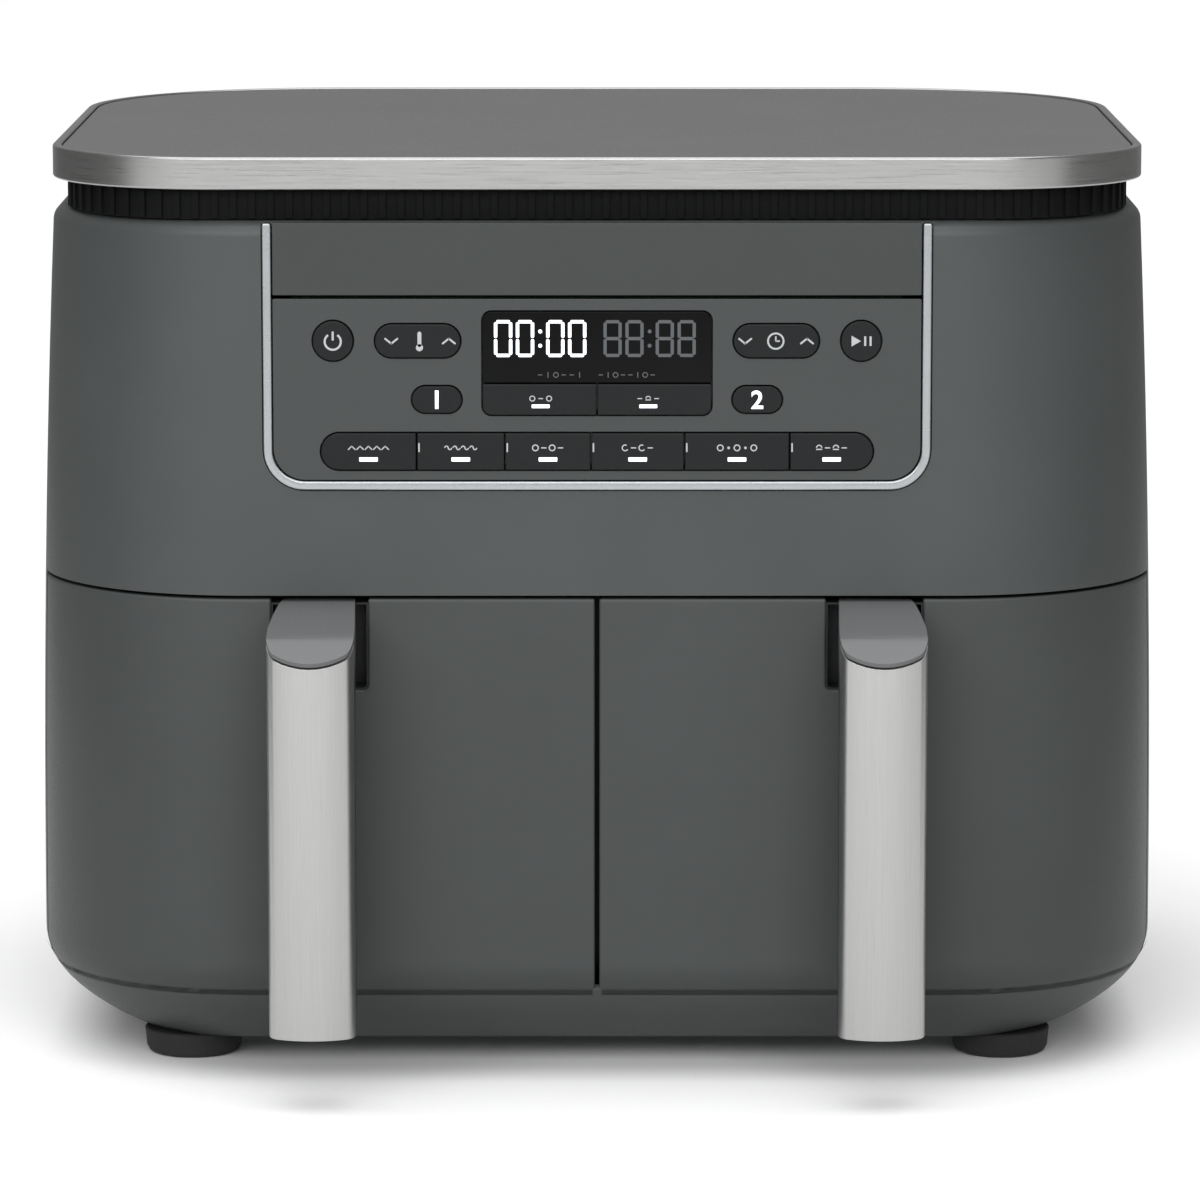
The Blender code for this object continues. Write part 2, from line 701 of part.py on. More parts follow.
def rocker_pivot_y():
    """Depth of the flange behind the fascia, where a rocker pivots."""
    return FRONT_Y - FASCIA_PROUD + FASCIA_THICKNESS + ROCKER_PLAY


def make_keys():
    """Each key is a cap, a flange behind the fascia that keeps it in, and a stem that reaches its switch."""
    face = FRONT_Y - FASCIA_PROUD - KEY_PROUD
    board = FRONT_Y + BOARD_SETBACK
    for shape in key_shapes():
        flange = rocker_pivot_y()
        if not shape["name"].endswith("rocker"):
            flange += FIT_GAP - ROCKER_PLAY
        rim = KEY_FLANGE if shape["ends"] else 0.0
        stem_shape = dict(shape, size=(0.003, 0.003), radii=(0.0004,) * 4)
        stem = grown(stem_shape, 0, 0)
        body = grown(shape, 0, 0)
        collar = grown(shape, rim, KEY_FLANGE)
        rings = [
            facing(grown(shape, -0.0003, -0.0003), face),
            facing(body, face + 0.0003),
            facing(body, flange),
            facing(collar, flange),
            facing(collar, flange + 0.0010),
            facing(stem, flange + 0.0010),
            facing(stem, board - KEY_TRAVEL - 0.0003),
        ]
        loft(shape["name"], rings, "key_black")


def make_fascias():
    rows = panel_rows()
    front = FRONT_Y - FASCIA_PROUD
    back = front + FASCIA_THICKNESS
    top = DECK_Z - FIT_GAP
    outline = rounded_box((-PANEL_INNER, rows["split"] + 0.0008), (PANEL_INNER, top), (0.0004,) * 4, 2)
    prism("upper_fascia", outline, front, back, "panel_grey", facing)

    corner = PANEL_RADIUS - TRIM_WIDTH - FIT_GAP
    low = (-PANEL_INNER, PANEL_BOTTOM + TRIM_WIDTH + FIT_GAP)
    outline = rounded_box(low, (PANEL_INNER, rows["split"] - 0.0004), (corner, corner, 0.0004, 0.0004))
    fascia = prism("control_fascia", outline, front, back, "panel_grey", facing)
    strip_half = PANEL_INNER - STRIP_MARGIN + KEY_GAP / 2
    holes = [grown(shape, KEY_GAP, KEY_GAP) for shape in key_shapes() if shape["ends"]]
    window_half = DISPLAY_WIDTH / 2 + KEY_GAP
    window_low, window_high = rows["modes"][0] - KEY_GAP, rows["display"][1] + KEY_GAP
    holes.append(rounded_box((-window_half, window_low), (window_half, window_high), (0.0034,) * 4, 3))
    strip_low, strip_high = rows["strip"][0] - KEY_GAP, rows["strip"][1] + KEY_GAP
    radius = STRIP_HEIGHT / 2 + KEY_GAP
    holes.append(rounded_box((-strip_half, strip_low), (strip_half, strip_high), (radius,) * 4, 3))
    for i, hole in enumerate(holes):
        cut(fascia, prism(f"fascia_hole_{i}", hole, front - 0.01, back + 0.01, None, facing))

    half = DISPLAY_WIDTH / 2
    low, high = (-half, rows["display"][0]), (half, rows["display"][1])
    outline = rounded_box(low, high, (0.0004, 0.0004, 0.003, 0.003), 3)
    prism("display_window", outline, front - 0.0002, back - 0.0003, "display_glass", facing)


def make_boards():
    rows = panel_rows()
    y = FRONT_Y + BOARD_SETBACK
    low = (-PANEL_INNER + 0.006, y, PANEL_BOTTOM + 0.006)
    block("control_board", low, (PANEL_INNER - 0.006, y + BOARD_THICKNESS, rows["split"]), "board_green")
    board_z = DOME_TOP + 0.012
    board = block("power_board", (-0.040, -0.050, board_z), (0.040, 0.100, board_z + 0.0016), "board_green")
    parts = [
        ((-0.030, -0.035, board_z + 0.001), (0.006, 0.005, board_z + 0.030)),
        ((0.014, -0.030, board_z + 0.001), (0.030, -0.014, board_z + 0.022)),
        ((-0.030, 0.040, board_z + 0.001), (0.030, 0.048, board_z + 0.035)),
    ]
    join(board, blocks("board_parts", parts, None))


# Cavities, heating and air


def make_liner(side, sign):
    """A sheet-metal box, open at the front, whose front edge follows the frame's back."""
    setback = FRAME_OFFSET + FRAME_WALL + CURVE_GAP
    curve = front_curve(LINER_BOTTOM, setback, DRAWER_END)
    front = [point for point in curve if point[0] < CAVITY_OUT - LINER_WALL]
    radius = FRONT_RADIUS - base_inset(LINER_BOTTOM) - setback
    centre_x = half_width(LINER_BOTTOM) - setback - radius
    centre_y = FRONT_Y + FRONT_RADIUS
    edge_y = centre_y - math.sqrt(max(0.0, radius**2 - (CAVITY_OUT - centre_x) ** 2))
    plan = [(CENTRE_GAP, front[0][1]), *front, (CAVITY_OUT, edge_y), (CAVITY_OUT, LINER_REAR)]
    plan.append((CENTRE_GAP, LINER_REAR))
    liner = prism(f"cavity_liner_{side}", sided(plan, sign), LINER_BOTTOM, LINER_TOP, "galvanised")
    x0, x1 = span(CENTRE_GAP + LINER_WALL, CAVITY_OUT - LINER_WALL, sign)
    low = (x0, FRONT_Y - 0.02, LINER_BOTTOM + LINER_WALL)
    high = (x1, LINER_REAR - LINER_WALL, LINER_TOP - LINER_WALL)
    cut(liner, block(f"liner_inside_{side}", low, high, None))
    hole = DOME_RADIUS - 0.0003
    ends = (LINER_TOP - 0.01, LINER_TOP + 0.01)
    profile = [(0, ends[0]), (hole, ends[0]), (hole, ends[1]), (0, ends[1])]
    cut(liner, turned(f"dome_hole_{side}", profile, (sign * CAVITY_X, FAN_Y, 0), None, closed=False))


def make_dome(side, sign):
    """The reflector over the heater, a turned pan upside down on the liner."""
    low, top, sheet = LINER_TOP + FIT_GAP, DOME_TOP, LINER_WALL
    inner = DOME_RADIUS - sheet
    bore = SHAFT_RADIUS + 0.003
    profile = [
        (bore, top),
        (DOME_RADIUS, top),
        (DOME_RADIUS, low + sheet),
        (DOME_RADIUS + DOME_FLANGE, low + sheet),
        (DOME_RADIUS + DOME_FLANGE, low),
        (inner, low),
        (inner, top - sheet),
        (bore, top - sheet),
    ]
    turned(f"heat_shield_{side}", profile, (sign * CAVITY_X, FAN_Y, 0), "galvanised")


def make_heater(side, sign):
    """A sheathed element wound as a flat spiral."""
    line = bpy.data.curves.new(f"heater_coil_{side}", "CURVE")
    line.dimensions = "3D"
    line.bevel_depth = HEATER_RADIUS
    line.bevel_resolution = 1
    line.use_fill_caps = True
    spline = line.splines.new("POLY")
    count = 20 * HEATER_TURNS
    spline.points.add(count)
    for i in range(count + 1):
        share = i / count
        radius = HEATER_INNER + (HEATER_OUTER - HEATER_INNER) * share
        angle = 2 * math.pi * HEATER_TURNS * share
        x, y = radius * math.cos(angle), radius * math.sin(angle)
        spline.points[i].co = (sign * x, y, 0, 1)
    coil = bpy.data.objects.new(f"heater_coil_{side}", line)
    coil.location = (sign * CAVITY_X, FAN_Y, LINER_TOP + 0.011)
    line.materials.append(finish_material("heater_metal"))
    bpy.context.scene.collection.objects.link(coil)


def impeller(name, radius, low, high, blades, centre, slot):
    """A disc with upright blades and a hub with a bore for the shaft."""
    hub = 0.010
    outline = []
    for i in range(blades):
        middle = 2 * math.pi * i / blades
        for reach, turn in ((hub, -0.16), (radius, -0.025), (radius, 0.025), (hub, 0.16)):
            outline.append((reach * math.cos(middle + turn), reach * math.sin(middle + turn)))
    outline = [(centre[0] + x, centre[1] + y) for x, y in outline]
    fan = prism(name, outline, low, high - 0.0004, slot)
    disc = [(0, high - 0.0012), (radius * 0.94, high - 0.0012), (radius * 0.94, high), (0, high)]
    join(fan, turned(f"{name}_disc", disc, centre, None, closed=False))
    bore = SHAFT_RADIUS + FIT_GAP
    hole = [(0, low - 0.01), (bore, low - 0.01), (bore, high + 0.01), (0, high + 0.01)]
    cut(fan, turned(f"{name}_bore", hole, centre, None, steps=12, closed=False))


def make_air_drive(side, sign):
    """A motor on the dome turns the convection fan below it and the cooling fan above it on one shaft."""
    centre = (sign * CAVITY_X, FAN_Y, 0)
    low = DOME_TOP + FIT_GAP
    high = low + MOTOR_HEIGHT
    bore = SHAFT_RADIUS + 0.0006
    profile = [
        (bore, low),
        (MOTOR_RADIUS + 0.007, low),
        (MOTOR_RADIUS + 0.007, low + 0.0025),
        (MOTOR_RADIUS, low + 0.0025),
        (MOTOR_RADIUS, high),
        (bore, high),
    ]
    turned(f"fan_motor_{side}", profile, centre, "galvanised", steps=20)
    fan_high = DOME_TOP - 0.010
    impeller(f"convection_fan_{side}", FAN_RADIUS, fan_high - FAN_HEIGHT, fan_high, 8, centre, "galvanised")
    cool_low = high + 0.004
    cool_high = cool_low + 0.010
    impeller(f"cooling_fan_{side}", COOLING_FAN_RADIUS, cool_low, cool_high, 7, centre, "black_plastic")
    ends = (fan_high - FAN_HEIGHT - 0.004, cool_high + 0.004)
    rod = [(0, ends[0]), (SHAFT_RADIUS, ends[0]), (SHAFT_RADIUS, ends[1]), (0, ends[1])]
    turned(f"motor_shaft_{side}", rod, centre, "brushed_steel", steps=12, closed=False)


def make_switch(side, sign):
    """The interlock switch behind the cavity, which a shut drawer presses."""
    middle = (LINER_BOTTOM + LINER_TOP) / 2
    x0, x1 = span(CAVITY_X - 0.010, CAVITY_X + 0.010, sign)
    y = LINER_REAR + FIT_GAP
    high = (x1, y + 0.0065, middle + 0.011)
    switch = block(f"drawer_switch_{side}", (x0, y, middle), high, "black_plastic")
    x2, x3 = span(CAVITY_X - 0.008, CAVITY_X + 0.008, sign)
    tabs = ((x2, y + 0.005, middle - 0.004), (x3, y + 0.0062, middle + 0.002))
    join(switch, blocks(f"switch_tabs_{side}", [tabs], None))


# Drawers


def make_drawer_front(side, sign):
    """A moulded shell, open at the back, with a pocket that the handle's neck plugs into."""
    start = SHUT_LINE / 2
    rings = []
    for z in body_levels(DRAWER_BOTTOM, DRAWER_TOP - 0.0008):
        section = drawer_section(z, 0.0, FASCIA_DEPTH, start, DRAWER_END)
        rings.append(upright(sided(section, sign), z))
    last = drawer_section(DRAWER_TOP, 0.0007, FASCIA_DEPTH, start + 0.0004, DRAWER_END - 0.0004)
    rings.append(upright(sided(last, sign), DRAWER_TOP))
    front = loft(f"drawer_front_{side}", rings, "housing_grey")

    rings = []
    for z in body_levels(DRAWER_BOTTOM + WALL, DRAWER_TOP - WALL):
        section = drawer_section(z, WALL, FASCIA_DEPTH + 0.003, start + WALL, DRAWER_END - WALL)
        rings.append(upright(sided(section, sign), z))
    cut(front, loft(f"front_hollow_{side}", rings, None))

    pocket_low = DRAWER_TOP - POCKET_HEIGHT
    reach = POCKET_WIDTH / 2 + POCKET_WALL
    x0, x1 = span(POCKET_X - reach, POCKET_X + reach, sign)
    back = FRONT_Y + FASCIA_DEPTH
    low = (x0, FRONT_Y + 0.0005, pocket_low - POCKET_WALL)
    join(front, block(f"pocket_boss_{side}", low, (x1, back, DRAWER_TOP - 0.0010), None))
    reach = POCKET_WIDTH / 2
    x0, x1 = span(POCKET_X - reach, POCKET_X + reach, sign)
    low = (x0, FRONT_Y - 0.02, pocket_low)
    cut(front, block(f"pocket_{side}", low, (x1, back - 0.0015, DRAWER_TOP + 0.02), None))


def make_drawer_back(side, sign):
    """The inner panel that closes the drawer front and carries the basket."""
    low, high = DRAWER_BOTTOM + 0.0020, DRAWER_TOP - 0.0050
    rings = []
    for z in body_levels(low, high):
        near = FASCIA_DEPTH + CURVE_GAP
        far = near + DRAWER_BACK
        section = drawer_section(z, near, far, SHUT_LINE / 2 + 0.0015, DRAWER_END - 0.0020)
        rings.append(upright(sided(section, sign), z))
    back = loft(f"drawer_back_{side}", rings, "black_plastic")
    face = FRONT_Y + FASCIA_DEPTH + CURVE_GAP + DRAWER_BACK
    half = BASKET_HALF - BASKET_RADIUS - 0.004
    x0, x1 = span(CAVITY_X - half, CAVITY_X + half, sign)
    low = (x0, face - 0.0012, BASKET_BOTTOM + 0.028)
    high = (x1, BASKET_FRONT - FIT_GAP, BASKET_TOP - 0.010)
    join(back, block(f"basket_bracket_{side}", low, high, None))


def basket_ring(z, offset, sign):
    """The basket's plan at a height. It narrows towards its floor, except at the front."""
    share = (BASKET_TOP - z) / (BASKET_TOP - BASKET_BOTTOM)
    draw_in = offset + BASKET_TAPER * share
    half = BASKET_HALF - draw_in
    radius = BASKET_RADIUS - offset
    x0, x1 = span(CAVITY_X - half, CAVITY_X + half, sign)
    outline = rounded_box((x0, BASKET_FRONT + offset), (x1, BASKET_REAR - draw_in), (radius,) * 4, 5)
    return upright(outline, z)


def make_basket(side, sign):
    wall, lip = BASKET_WALL, 0.0022
    floor = BASKET_BOTTOM + wall
    rings = [
        basket_ring(BASKET_BOTTOM, 0.004, sign),
        basket_ring(BASKET_BOTTOM + 0.004, 0.0, sign),
        basket_ring(BASKET_TOP - 0.0020, 0.0, sign),
        basket_ring(BASKET_TOP - 0.0020, -lip, sign),
        basket_ring(BASKET_TOP, -lip, sign),
        basket_ring(BASKET_TOP, wall, sign),
        basket_ring(floor + 0.004, wall, sign),
        basket_ring(floor, wall + 0.004, sign),
    ]
    loft(f"basket_{side}", rings, "nonstick")


def make_crisper_plate(side, sign):
    """The slotted plate that food lies on, standing on four short legs."""
    low = BASKET_BOTTOM + BASKET_WALL + PLATE_HEIGHT
    high = low + PLATE_THICKNESS
    edge = BASKET_WALL + PLATE_GAP
    rings = [basket_ring(low, edge, sign), [point.copy() for point in basket_ring(low, edge, sign)]]
    for point in rings[1]:
        point.z = high
    plate = loft(f"crisper_plate_{side}", rings, "nonstick")
    half = BASKET_HALF - BASKET_TAPER - edge
    middle_y = (BASKET_FRONT + BASKET_REAR) / 2
    half_y = (BASKET_REAR - BASKET_FRONT) / 2 - BASKET_TAPER - edge
    x = sign * CAVITY_X
    legs = []
    for i in (-1, 1):
        for j in (-1, 1):
            leg_x, leg_y = x + i * (half - 0.022), middle_y + j * (half_y - 0.022)
            foot = (leg_x - 0.004, leg_y - 0.004, BASKET_BOTTOM + BASKET_WALL + FIT_GAP)
            legs.append((foot, (leg_x + 0.004, leg_y + 0.004, low + 0.001)))
    join(plate, blocks(f"plate_legs_{side}", legs, None))
    rows, columns = 6, 3
    pitch_y, pitch_x = (2 * half_y - 0.030) / rows, (2 * half - 0.024) / columns
    slots = []
    for i in range(rows):
        for j in range(columns):
            slot_x = x + pitch_x * (j + 0.5 - columns / 2)
            slot_y = middle_y + pitch_y * (i + 0.5 - rows / 2)
            reach = (pitch_x * 0.36, pitch_y * 0.16)
            corner = (slot_x + reach[0], slot_y + reach[1], high + 0.01)
            slots.append(((slot_x - reach[0], slot_y - reach[1], low - 0.004), corner))
    cut(plate, blocks(f"plate_slots_{side}", slots, None))


def grip_sections():
    """Plan outlines, about the handle's middle, of the plastic core and of the metal cover over its front."""
    half, face = HANDLE_WIDTH / 2, -OVERALL_DEPTH / 2
    rear, join_y = face + HANDLE_DEPTH, face + COVER_WRAP
    radius, sheet = 0.005, COVER_THICKNESS
    under = sheet + FIT_GAP
    core_radius = radius - under
    right = [
        *arc((half - under - core_radius, face + under + core_radius), core_radius, -90, 0, 4),
        (half - under, join_y + FIT_GAP),
        (half, join_y + FIT_GAP),
        *arc((half - 0.003, rear - 0.003), 0.003, 0, 90, 3),
    ]
    core = mirrored(right) + right
    outer = [*arc((half - radius, face + radius), radius, -90, 0, 4), (half, join_y)]
    inner = [*arc((half - radius, face + radius), radius - sheet, -90, 0, 4), (half - sheet, join_y)]
    cover = mirrored(outer) + outer + list(reversed(inner)) + mirrored(list(reversed(inner)))
    return core, cover


def make_handle(side, sign):
    """The plastic grip hangs from a neck that plugs into the drawer front, and a metal cover faces it."""
    core, cover = grip_sections()
    centre = sign * HANDLE_OFFSET
    core = [(centre + x, y) for x, y in core]
    cover = [(centre + x, y) for x, y in cover]
    neck_low = COVER_TOP + FIT_GAP
    grip = prism(f"handle_grip_{side}", core, HANDLE_BOTTOM + 0.0006, neck_low + 0.002, "neck_grey")
    prism(f"handle_cover_{side}", cover, HANDLE_BOTTOM, COVER_TOP, "brushed_steel")

    face, root = -OVERALL_DEPTH / 2, FRONT_Y + FASCIA_DEPTH - 0.0015 - FIT_GAP
    back = face + HANDLE_DEPTH
    top = DRAWER_TOP - 0.0006
    profile = [
        (root, COVER_TOP - 0.0080),
        (root, top),
        (FRONT_Y - 0.006, top - 0.0004),
        (FRONT_Y - 0.022, top - 0.0032),
        (face + 0.0110, neck_low + 0.0052),
        (face + 0.0025, neck_low + 0.0018),
        (face + 0.0006, neck_low),
        (back - 0.0010, neck_low),
        (back - 0.0010, COVER_TOP - 0.0200),
        (back + 0.0050, COVER_TOP - 0.0120),
        (back + 0.0130, COVER_TOP - 0.0088),
    ]
    rings = []
    for direction in (-1, 1):
        ring = []
        for y, z in profile:
            share = min(1.0, max(0.0, (root - y) / (root - back)))
            half = HANDLE_NECK / 2 + (HANDLE_WIDTH / 2 - 0.0006 - HANDLE_NECK / 2) * share
            middle = centre - sign * NECK_OFFSET * (1 - share)
            ring.append(Vector((middle + direction * half, y, z)))
        rings.append(ring)
    join(grip, loft(f"handle_neck_{side}", rings, None))


def hang(joint, place, names):
    """Parents moving pieces to an empty on their joint's axis."""
    pivot = bpy.data.objects.new(joint, None)
    pivot.location = place
    bpy.context.scene.collection.objects.link(pivot)
    for name in names:
        moving = bpy.data.objects[name]
        moving.parent = pivot
        moving.matrix_parent_inverse = Matrix.Translation(place).inverted()


def place_joints():
    for side, sign in (("right", 1), ("left", -1)):
        parts = ("drawer_front", "drawer_back", "basket", "handle_grip", "handle_cover")
        middle = (LINER_BOTTOM + LINER_TOP) / 2
        hang(f"drawer_{side}_slide", (sign * CAVITY_X, FRONT_Y, middle), [f"{part}_{side}" for part in parts])
        hang(f"plate_{side}_lift", (sign * CAVITY_X, FAN_Y, BASKET_BOTTOM), [f"crisper_plate_{side}"])
        drive = [f"{part}_{side}" for part in ("motor_shaft", "convection_fan", "cooling_fan")]
        hang(f"fan_{side}_spin", (sign * CAVITY_X, FAN_Y, DOME_TOP), drive)
    for shape in key_shapes():
        name = shape["name"]
        hang(f"{name}_press", (shape["x"], rocker_pivot_y(), shape["z"]), [name])


def main():
    clear_scene()
    make_base()
    make_feet()
    make_housing()
    make_frame()
    make_lid()
    make_vent_band()
    make_rear_cover()
    make_gland()
    make_trim()
    make_fascias()
    make_keys()
    make_boards()
    for build in (
        make_liner,
        make_dome,
        make_heater,
        make_air_drive,
        make_switch,
        make_drawer_front,
        make_drawer_back,
        make_basket,
        make_crisper_plate,
        make_handle,
    ):
        both_sides(build)
    place_joints()


main()
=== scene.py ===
import math

import bmesh
import bpy
from bpy.props import FloatProperty, FloatVectorProperty, IntProperty, PointerProperty
from mathutils import Matrix, Vector


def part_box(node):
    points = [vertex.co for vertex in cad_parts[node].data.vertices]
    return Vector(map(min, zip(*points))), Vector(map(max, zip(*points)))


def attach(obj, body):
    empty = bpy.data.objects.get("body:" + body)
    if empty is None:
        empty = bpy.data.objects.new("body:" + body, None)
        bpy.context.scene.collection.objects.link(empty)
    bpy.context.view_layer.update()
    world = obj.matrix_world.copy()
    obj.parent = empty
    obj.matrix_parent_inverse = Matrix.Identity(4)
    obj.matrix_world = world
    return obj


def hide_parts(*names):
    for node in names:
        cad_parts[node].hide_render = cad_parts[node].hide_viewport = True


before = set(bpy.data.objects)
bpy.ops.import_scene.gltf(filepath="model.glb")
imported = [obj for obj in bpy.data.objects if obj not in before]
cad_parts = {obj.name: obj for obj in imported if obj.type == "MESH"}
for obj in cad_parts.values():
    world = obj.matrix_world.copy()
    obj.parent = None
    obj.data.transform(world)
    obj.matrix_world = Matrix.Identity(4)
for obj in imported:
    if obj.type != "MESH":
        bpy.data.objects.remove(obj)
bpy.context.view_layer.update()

bl_info = {
    "name": "Two-Drawer Air Fryer",
    "version": (1, 0, 0),
    "blender": (4, 5, 0),
    "location": "View3D > Sidebar > Air Fryer",
    "description": "Builds the visible pieces of an air fryer with two drawers round its packed frame",
    "category": "Object",
}

MM = 0.001
SIDES = (("left", -1), ("right", 1))
GAP = 0.0003  # between a piece and what it is let into
SHARP = math.radians(35)  # edges that turn by more than this stay crisp


# Sizes and colours


def srgb(code):
    """A hex colour as linear values, which is what the shaders take."""
    parts = [int(code[i : i + 2], 16) / 255 for i in (1, 3, 5)]
    return (*[c / 12.92 if c <= 0.04045 else ((c + 0.055) / 1.055) ** 2.4 for c in parts], 1.0)


def scaled(colour, amount):
    """A colour made lighter or darker by a share."""
    return (*[min(1.0, c * amount) for c in colour[:3]], 1.0)


def length(name, description, default):
    return FloatProperty(name=name, description=description, default=default, unit="LENGTH")


def colour(name, description, code):
    return FloatVectorProperty(name=name, description=description, default=srgb(code), subtype="COLOR", size=4)


class BodySizes(bpy.types.PropertyGroup):
    front_radius: length("Front corners", "Radius of the two front corners", 0.072)
    rear_radius: length("Rear corners", "Radius of the two rear corners", 0.075)
    side_taper: length("Side taper", "How far each side leans in by the top", 0.0061)
    curve_height: length("Base curve height", "From the underside up to where the sides are straight", 0.033)
    curve_depth: length("Base curve depth", "How far the underside is drawn in", 0.031)
    curve_power: FloatProperty(name="Base curve power", description="How tightly the base curves in", default=2.15)
    shoulder: length("Shoulder", "Radius between the sides and the deck", 0.005)
    wall: length("Wall", "Thickness of the moulded housing", 0.003)
    corner_steps: IntProperty(name="Corner steps", description="Faces round each large corner", default=28)


class LidSizes(bpy.types.PropertyGroup):
    front_radius: length("Front corners", "Radius of the lid's front corners", 0.058)
    rear_radius: length("Rear corners", "Radius of the lid's rear corners", 0.088)
    lip: length("Lip", "Width of the rim's upper face", 0.003)
    ledge: length("Ledge", "Reach of the ledge under the plate", 0.013)
    edge: length("Edge", "Rounding of the rim's edges", 0.0009)
    rib_pitch: length("Rib pitch", "Distance between the vent's ribs", 0.0062)
    rib_depth: length("Rib depth", "How far a rib stands out", 0.0009)


class PanelSizes(bpy.types.PropertyGroup):
    trim_width: length("Trim width", "Width of the bright trim", 0.0031)
    trim_radius: length("Trim corners", "Outer radius of the trim's corners", 0.014)
    key_gap: length("Key gap", "Between a key and the fascia", 0.0004)
    key_edge: length("Key edge", "Rounding of a key's front edge", 0.0004)
    ink: length("Ink thickness", "Thickness of printed and lit marks", 0.00005)
    digit_stroke: length("Digit stroke", "Width of a segment of a digit", 0.0011)


class HandleSizes(bpy.types.PropertyGroup):
    crown: length("Crown", "How far the cover bulges across its width", 0.0048)
    corner: length("Corners", "Radius of the cover's front corners", 0.0046)
    sheet: length("Sheet", "Thickness of the metal cover", 0.0012)
    joint: length("Joint", "Gap between the neck and the cover", 0.0008)
    root_width: length("Neck root", "Width of the neck in its pocket", 0.0232)
    edge: length("Neck edge", "Rounding along the neck's sides", 0.0022)


class CavitySizes(bpy.types.PropertyGroup):
    basket_wall: length("Basket wall", "Thickness of the basket's sheet", 0.0018)
    basket_radius: length("Basket corners", "Radius of the basket's upright corners", 0.034)
    basket_taper: length("Basket taper", "How much the basket narrows by its floor", 0.003)
    floor_radius: length("Floor radius", "Between the basket's floor and sides", 0.008)
    slot_rows: IntProperty(name="Slot rows", description="Rows of slots in a crisper plate", default=9)
    slot_columns: IntProperty(name="Slot columns", description="Slots across a crisper plate", default=3)
    heater_turns: IntProperty(name="Heater turns", description="Turns of each heating coil", default=2)


class FinishColours(bpy.types.PropertyGroup):
    housing: colour("Housing", "Moulded slate ABS", "#484B4B")
    panel: colour("Panel", "Painted panel", "#404343")
    black: colour("Black parts", "Black ABS", "#1B1C1D")
    keys: colour("Keys", "Smooth key caps", "#141617")
    steel: colour("Steel", "Brushed stainless steel", "#A9A9A8")
    chrome: colour("Trim", "Satin chrome", "#9DA0A2")
    neck: colour("Handle necks", "Mid grey ABS", "#616263")
    plate: colour("Top plate", "Painted mid grey", "#5B5B5C")


class StageLook(bpy.types.PropertyGroup):
    room: FloatProperty(name="Room light", description="Light from the room's walls", default=0.30)
    overhead: FloatProperty(name="Overhead light", description="Strength of the soft light above", default=2.45)
    spread: FloatProperty(
        name="Overhead spread", description="Width of the light above", default=math.radians(70), unit="ROTATION"
    )
    front_power: FloatProperty(
        name="Front softbox", description="Power of the light in front", default=41.0, unit="POWER"
    )
    lens: FloatProperty(name="Lens", description="Focal length of the camera in mm", default=190.07)
    tilt: FloatProperty(
        name="Tilt", description="How far the camera looks down", default=math.radians(9.113), unit="ROTATION"
    )


# Shaping


def extrude(bm, face, rise):
    """Pulls a face out along its normal and returns the new one."""
    step = face.normal * rise
    made = bmesh.ops.extrude_face_region(bm, geom=[face])["geom"]
    pulled = next(item for item in made if isinstance(item, bmesh.types.BMFace))
    bmesh.ops.translate(bm, vec=step, verts=pulled.verts)
    return pulled


def grow(bm, face, steps):
    """Takes a face through steps of (draw in, rise) and returns it at their end."""
    for draw_in, rise in steps:
        bmesh.ops.inset_region(
            bm, faces=[face], thickness=draw_in, depth=rise, use_even_offset=True, use_boundary=True
        )
    return face


def fillet(width, height, count):
    """Steps of (draw in, rise) over a rounded edge, from upright to flat."""
    marks = [math.radians(90 * i / count) for i in range(count + 1)]
    return [
        (width * (math.cos(a) - math.cos(b)), height * (math.sin(b) - math.sin(a)))
        for a, b in zip(marks, marks[1:])
    ]


def face_up(face):
    face.normal_update()
    if face.normal.z < 0:
        face.normal_flip()
    return face


def round_corner(bm, corner, radius, steps):
    bmesh.ops.bevel(
        bm,
        geom=[corner],
        offset=radius,
        offset_type="OFFSET",
        segments=steps,
        profile=0.5,
        affect="VERTICES",
        material=-1,
    )


def rounded_face(bm, low, high, radii, steps=8, level=0.0):
    """Adds a flat face that faces up. Its corners run low-low, high-low, low-high, high-high."""
    before = set(bm.faces)
    corners = bmesh.ops.create_grid(bm, x_segments=1, y_segments=1, size=0.5)["verts"]
    size = (high[0] - low[0], high[1] - low[1], 1)
    middle = ((high[0] + low[0]) / 2, (high[1] + low[1]) / 2, 0)
    bmesh.ops.scale(bm, vec=size, verts=corners)
    bmesh.ops.translate(bm, vec=middle, verts=corners)
    most = min(size[0], size[1]) * 0.49995  # just short of a half, so that opposite corners never meet
    for corner, radius in zip(corners, radii):
        if radius > 0:
            round_corner(bm, corner, min(radius, most), steps)
    face = (set(bm.faces) - before).pop()
    bmesh.ops.remove_doubles(bm, verts=face.verts, dist=1e-5)
    face_up(face)
    bmesh.ops.translate(bm, vec=(0, 0, level), verts=face.verts)
    return face


def slab(bm, low, high, radii, bottom, top, edge=0.0, steps=6):
    """Adds a rounded slab between two heights, with its upper edge rounded over."""
    face = rounded_face(bm, low, high, radii, steps, bottom)
    face = extrude(bm, face, top - bottom - edge)
    if edge:
        grow(bm, face, fillet(edge, edge, 3))


def slot_hole(bm, x, y, reach_x, reach_y, radius, bottom, top, steps=6):
    """Adds a round-ended slab about a point, for cutting a slot."""
    slab(bm, (x - reach_x, y - reach_y), (x + reach_x, y + reach_y), (radius,) * 4, bottom, top, steps=steps)


def box(bm, low, high):
    """Adds a plain box between two corners."""
    corners = bmesh.ops.create_cube(bm, size=1.0)["verts"]
    bmesh.ops.scale(bm, vec=[high[k] - low[k] for k in range(3)], verts=corners)
    bmesh.ops.translate(bm, vec=[(high[k] + low[k]) / 2 for k in range(3)], verts=corners)


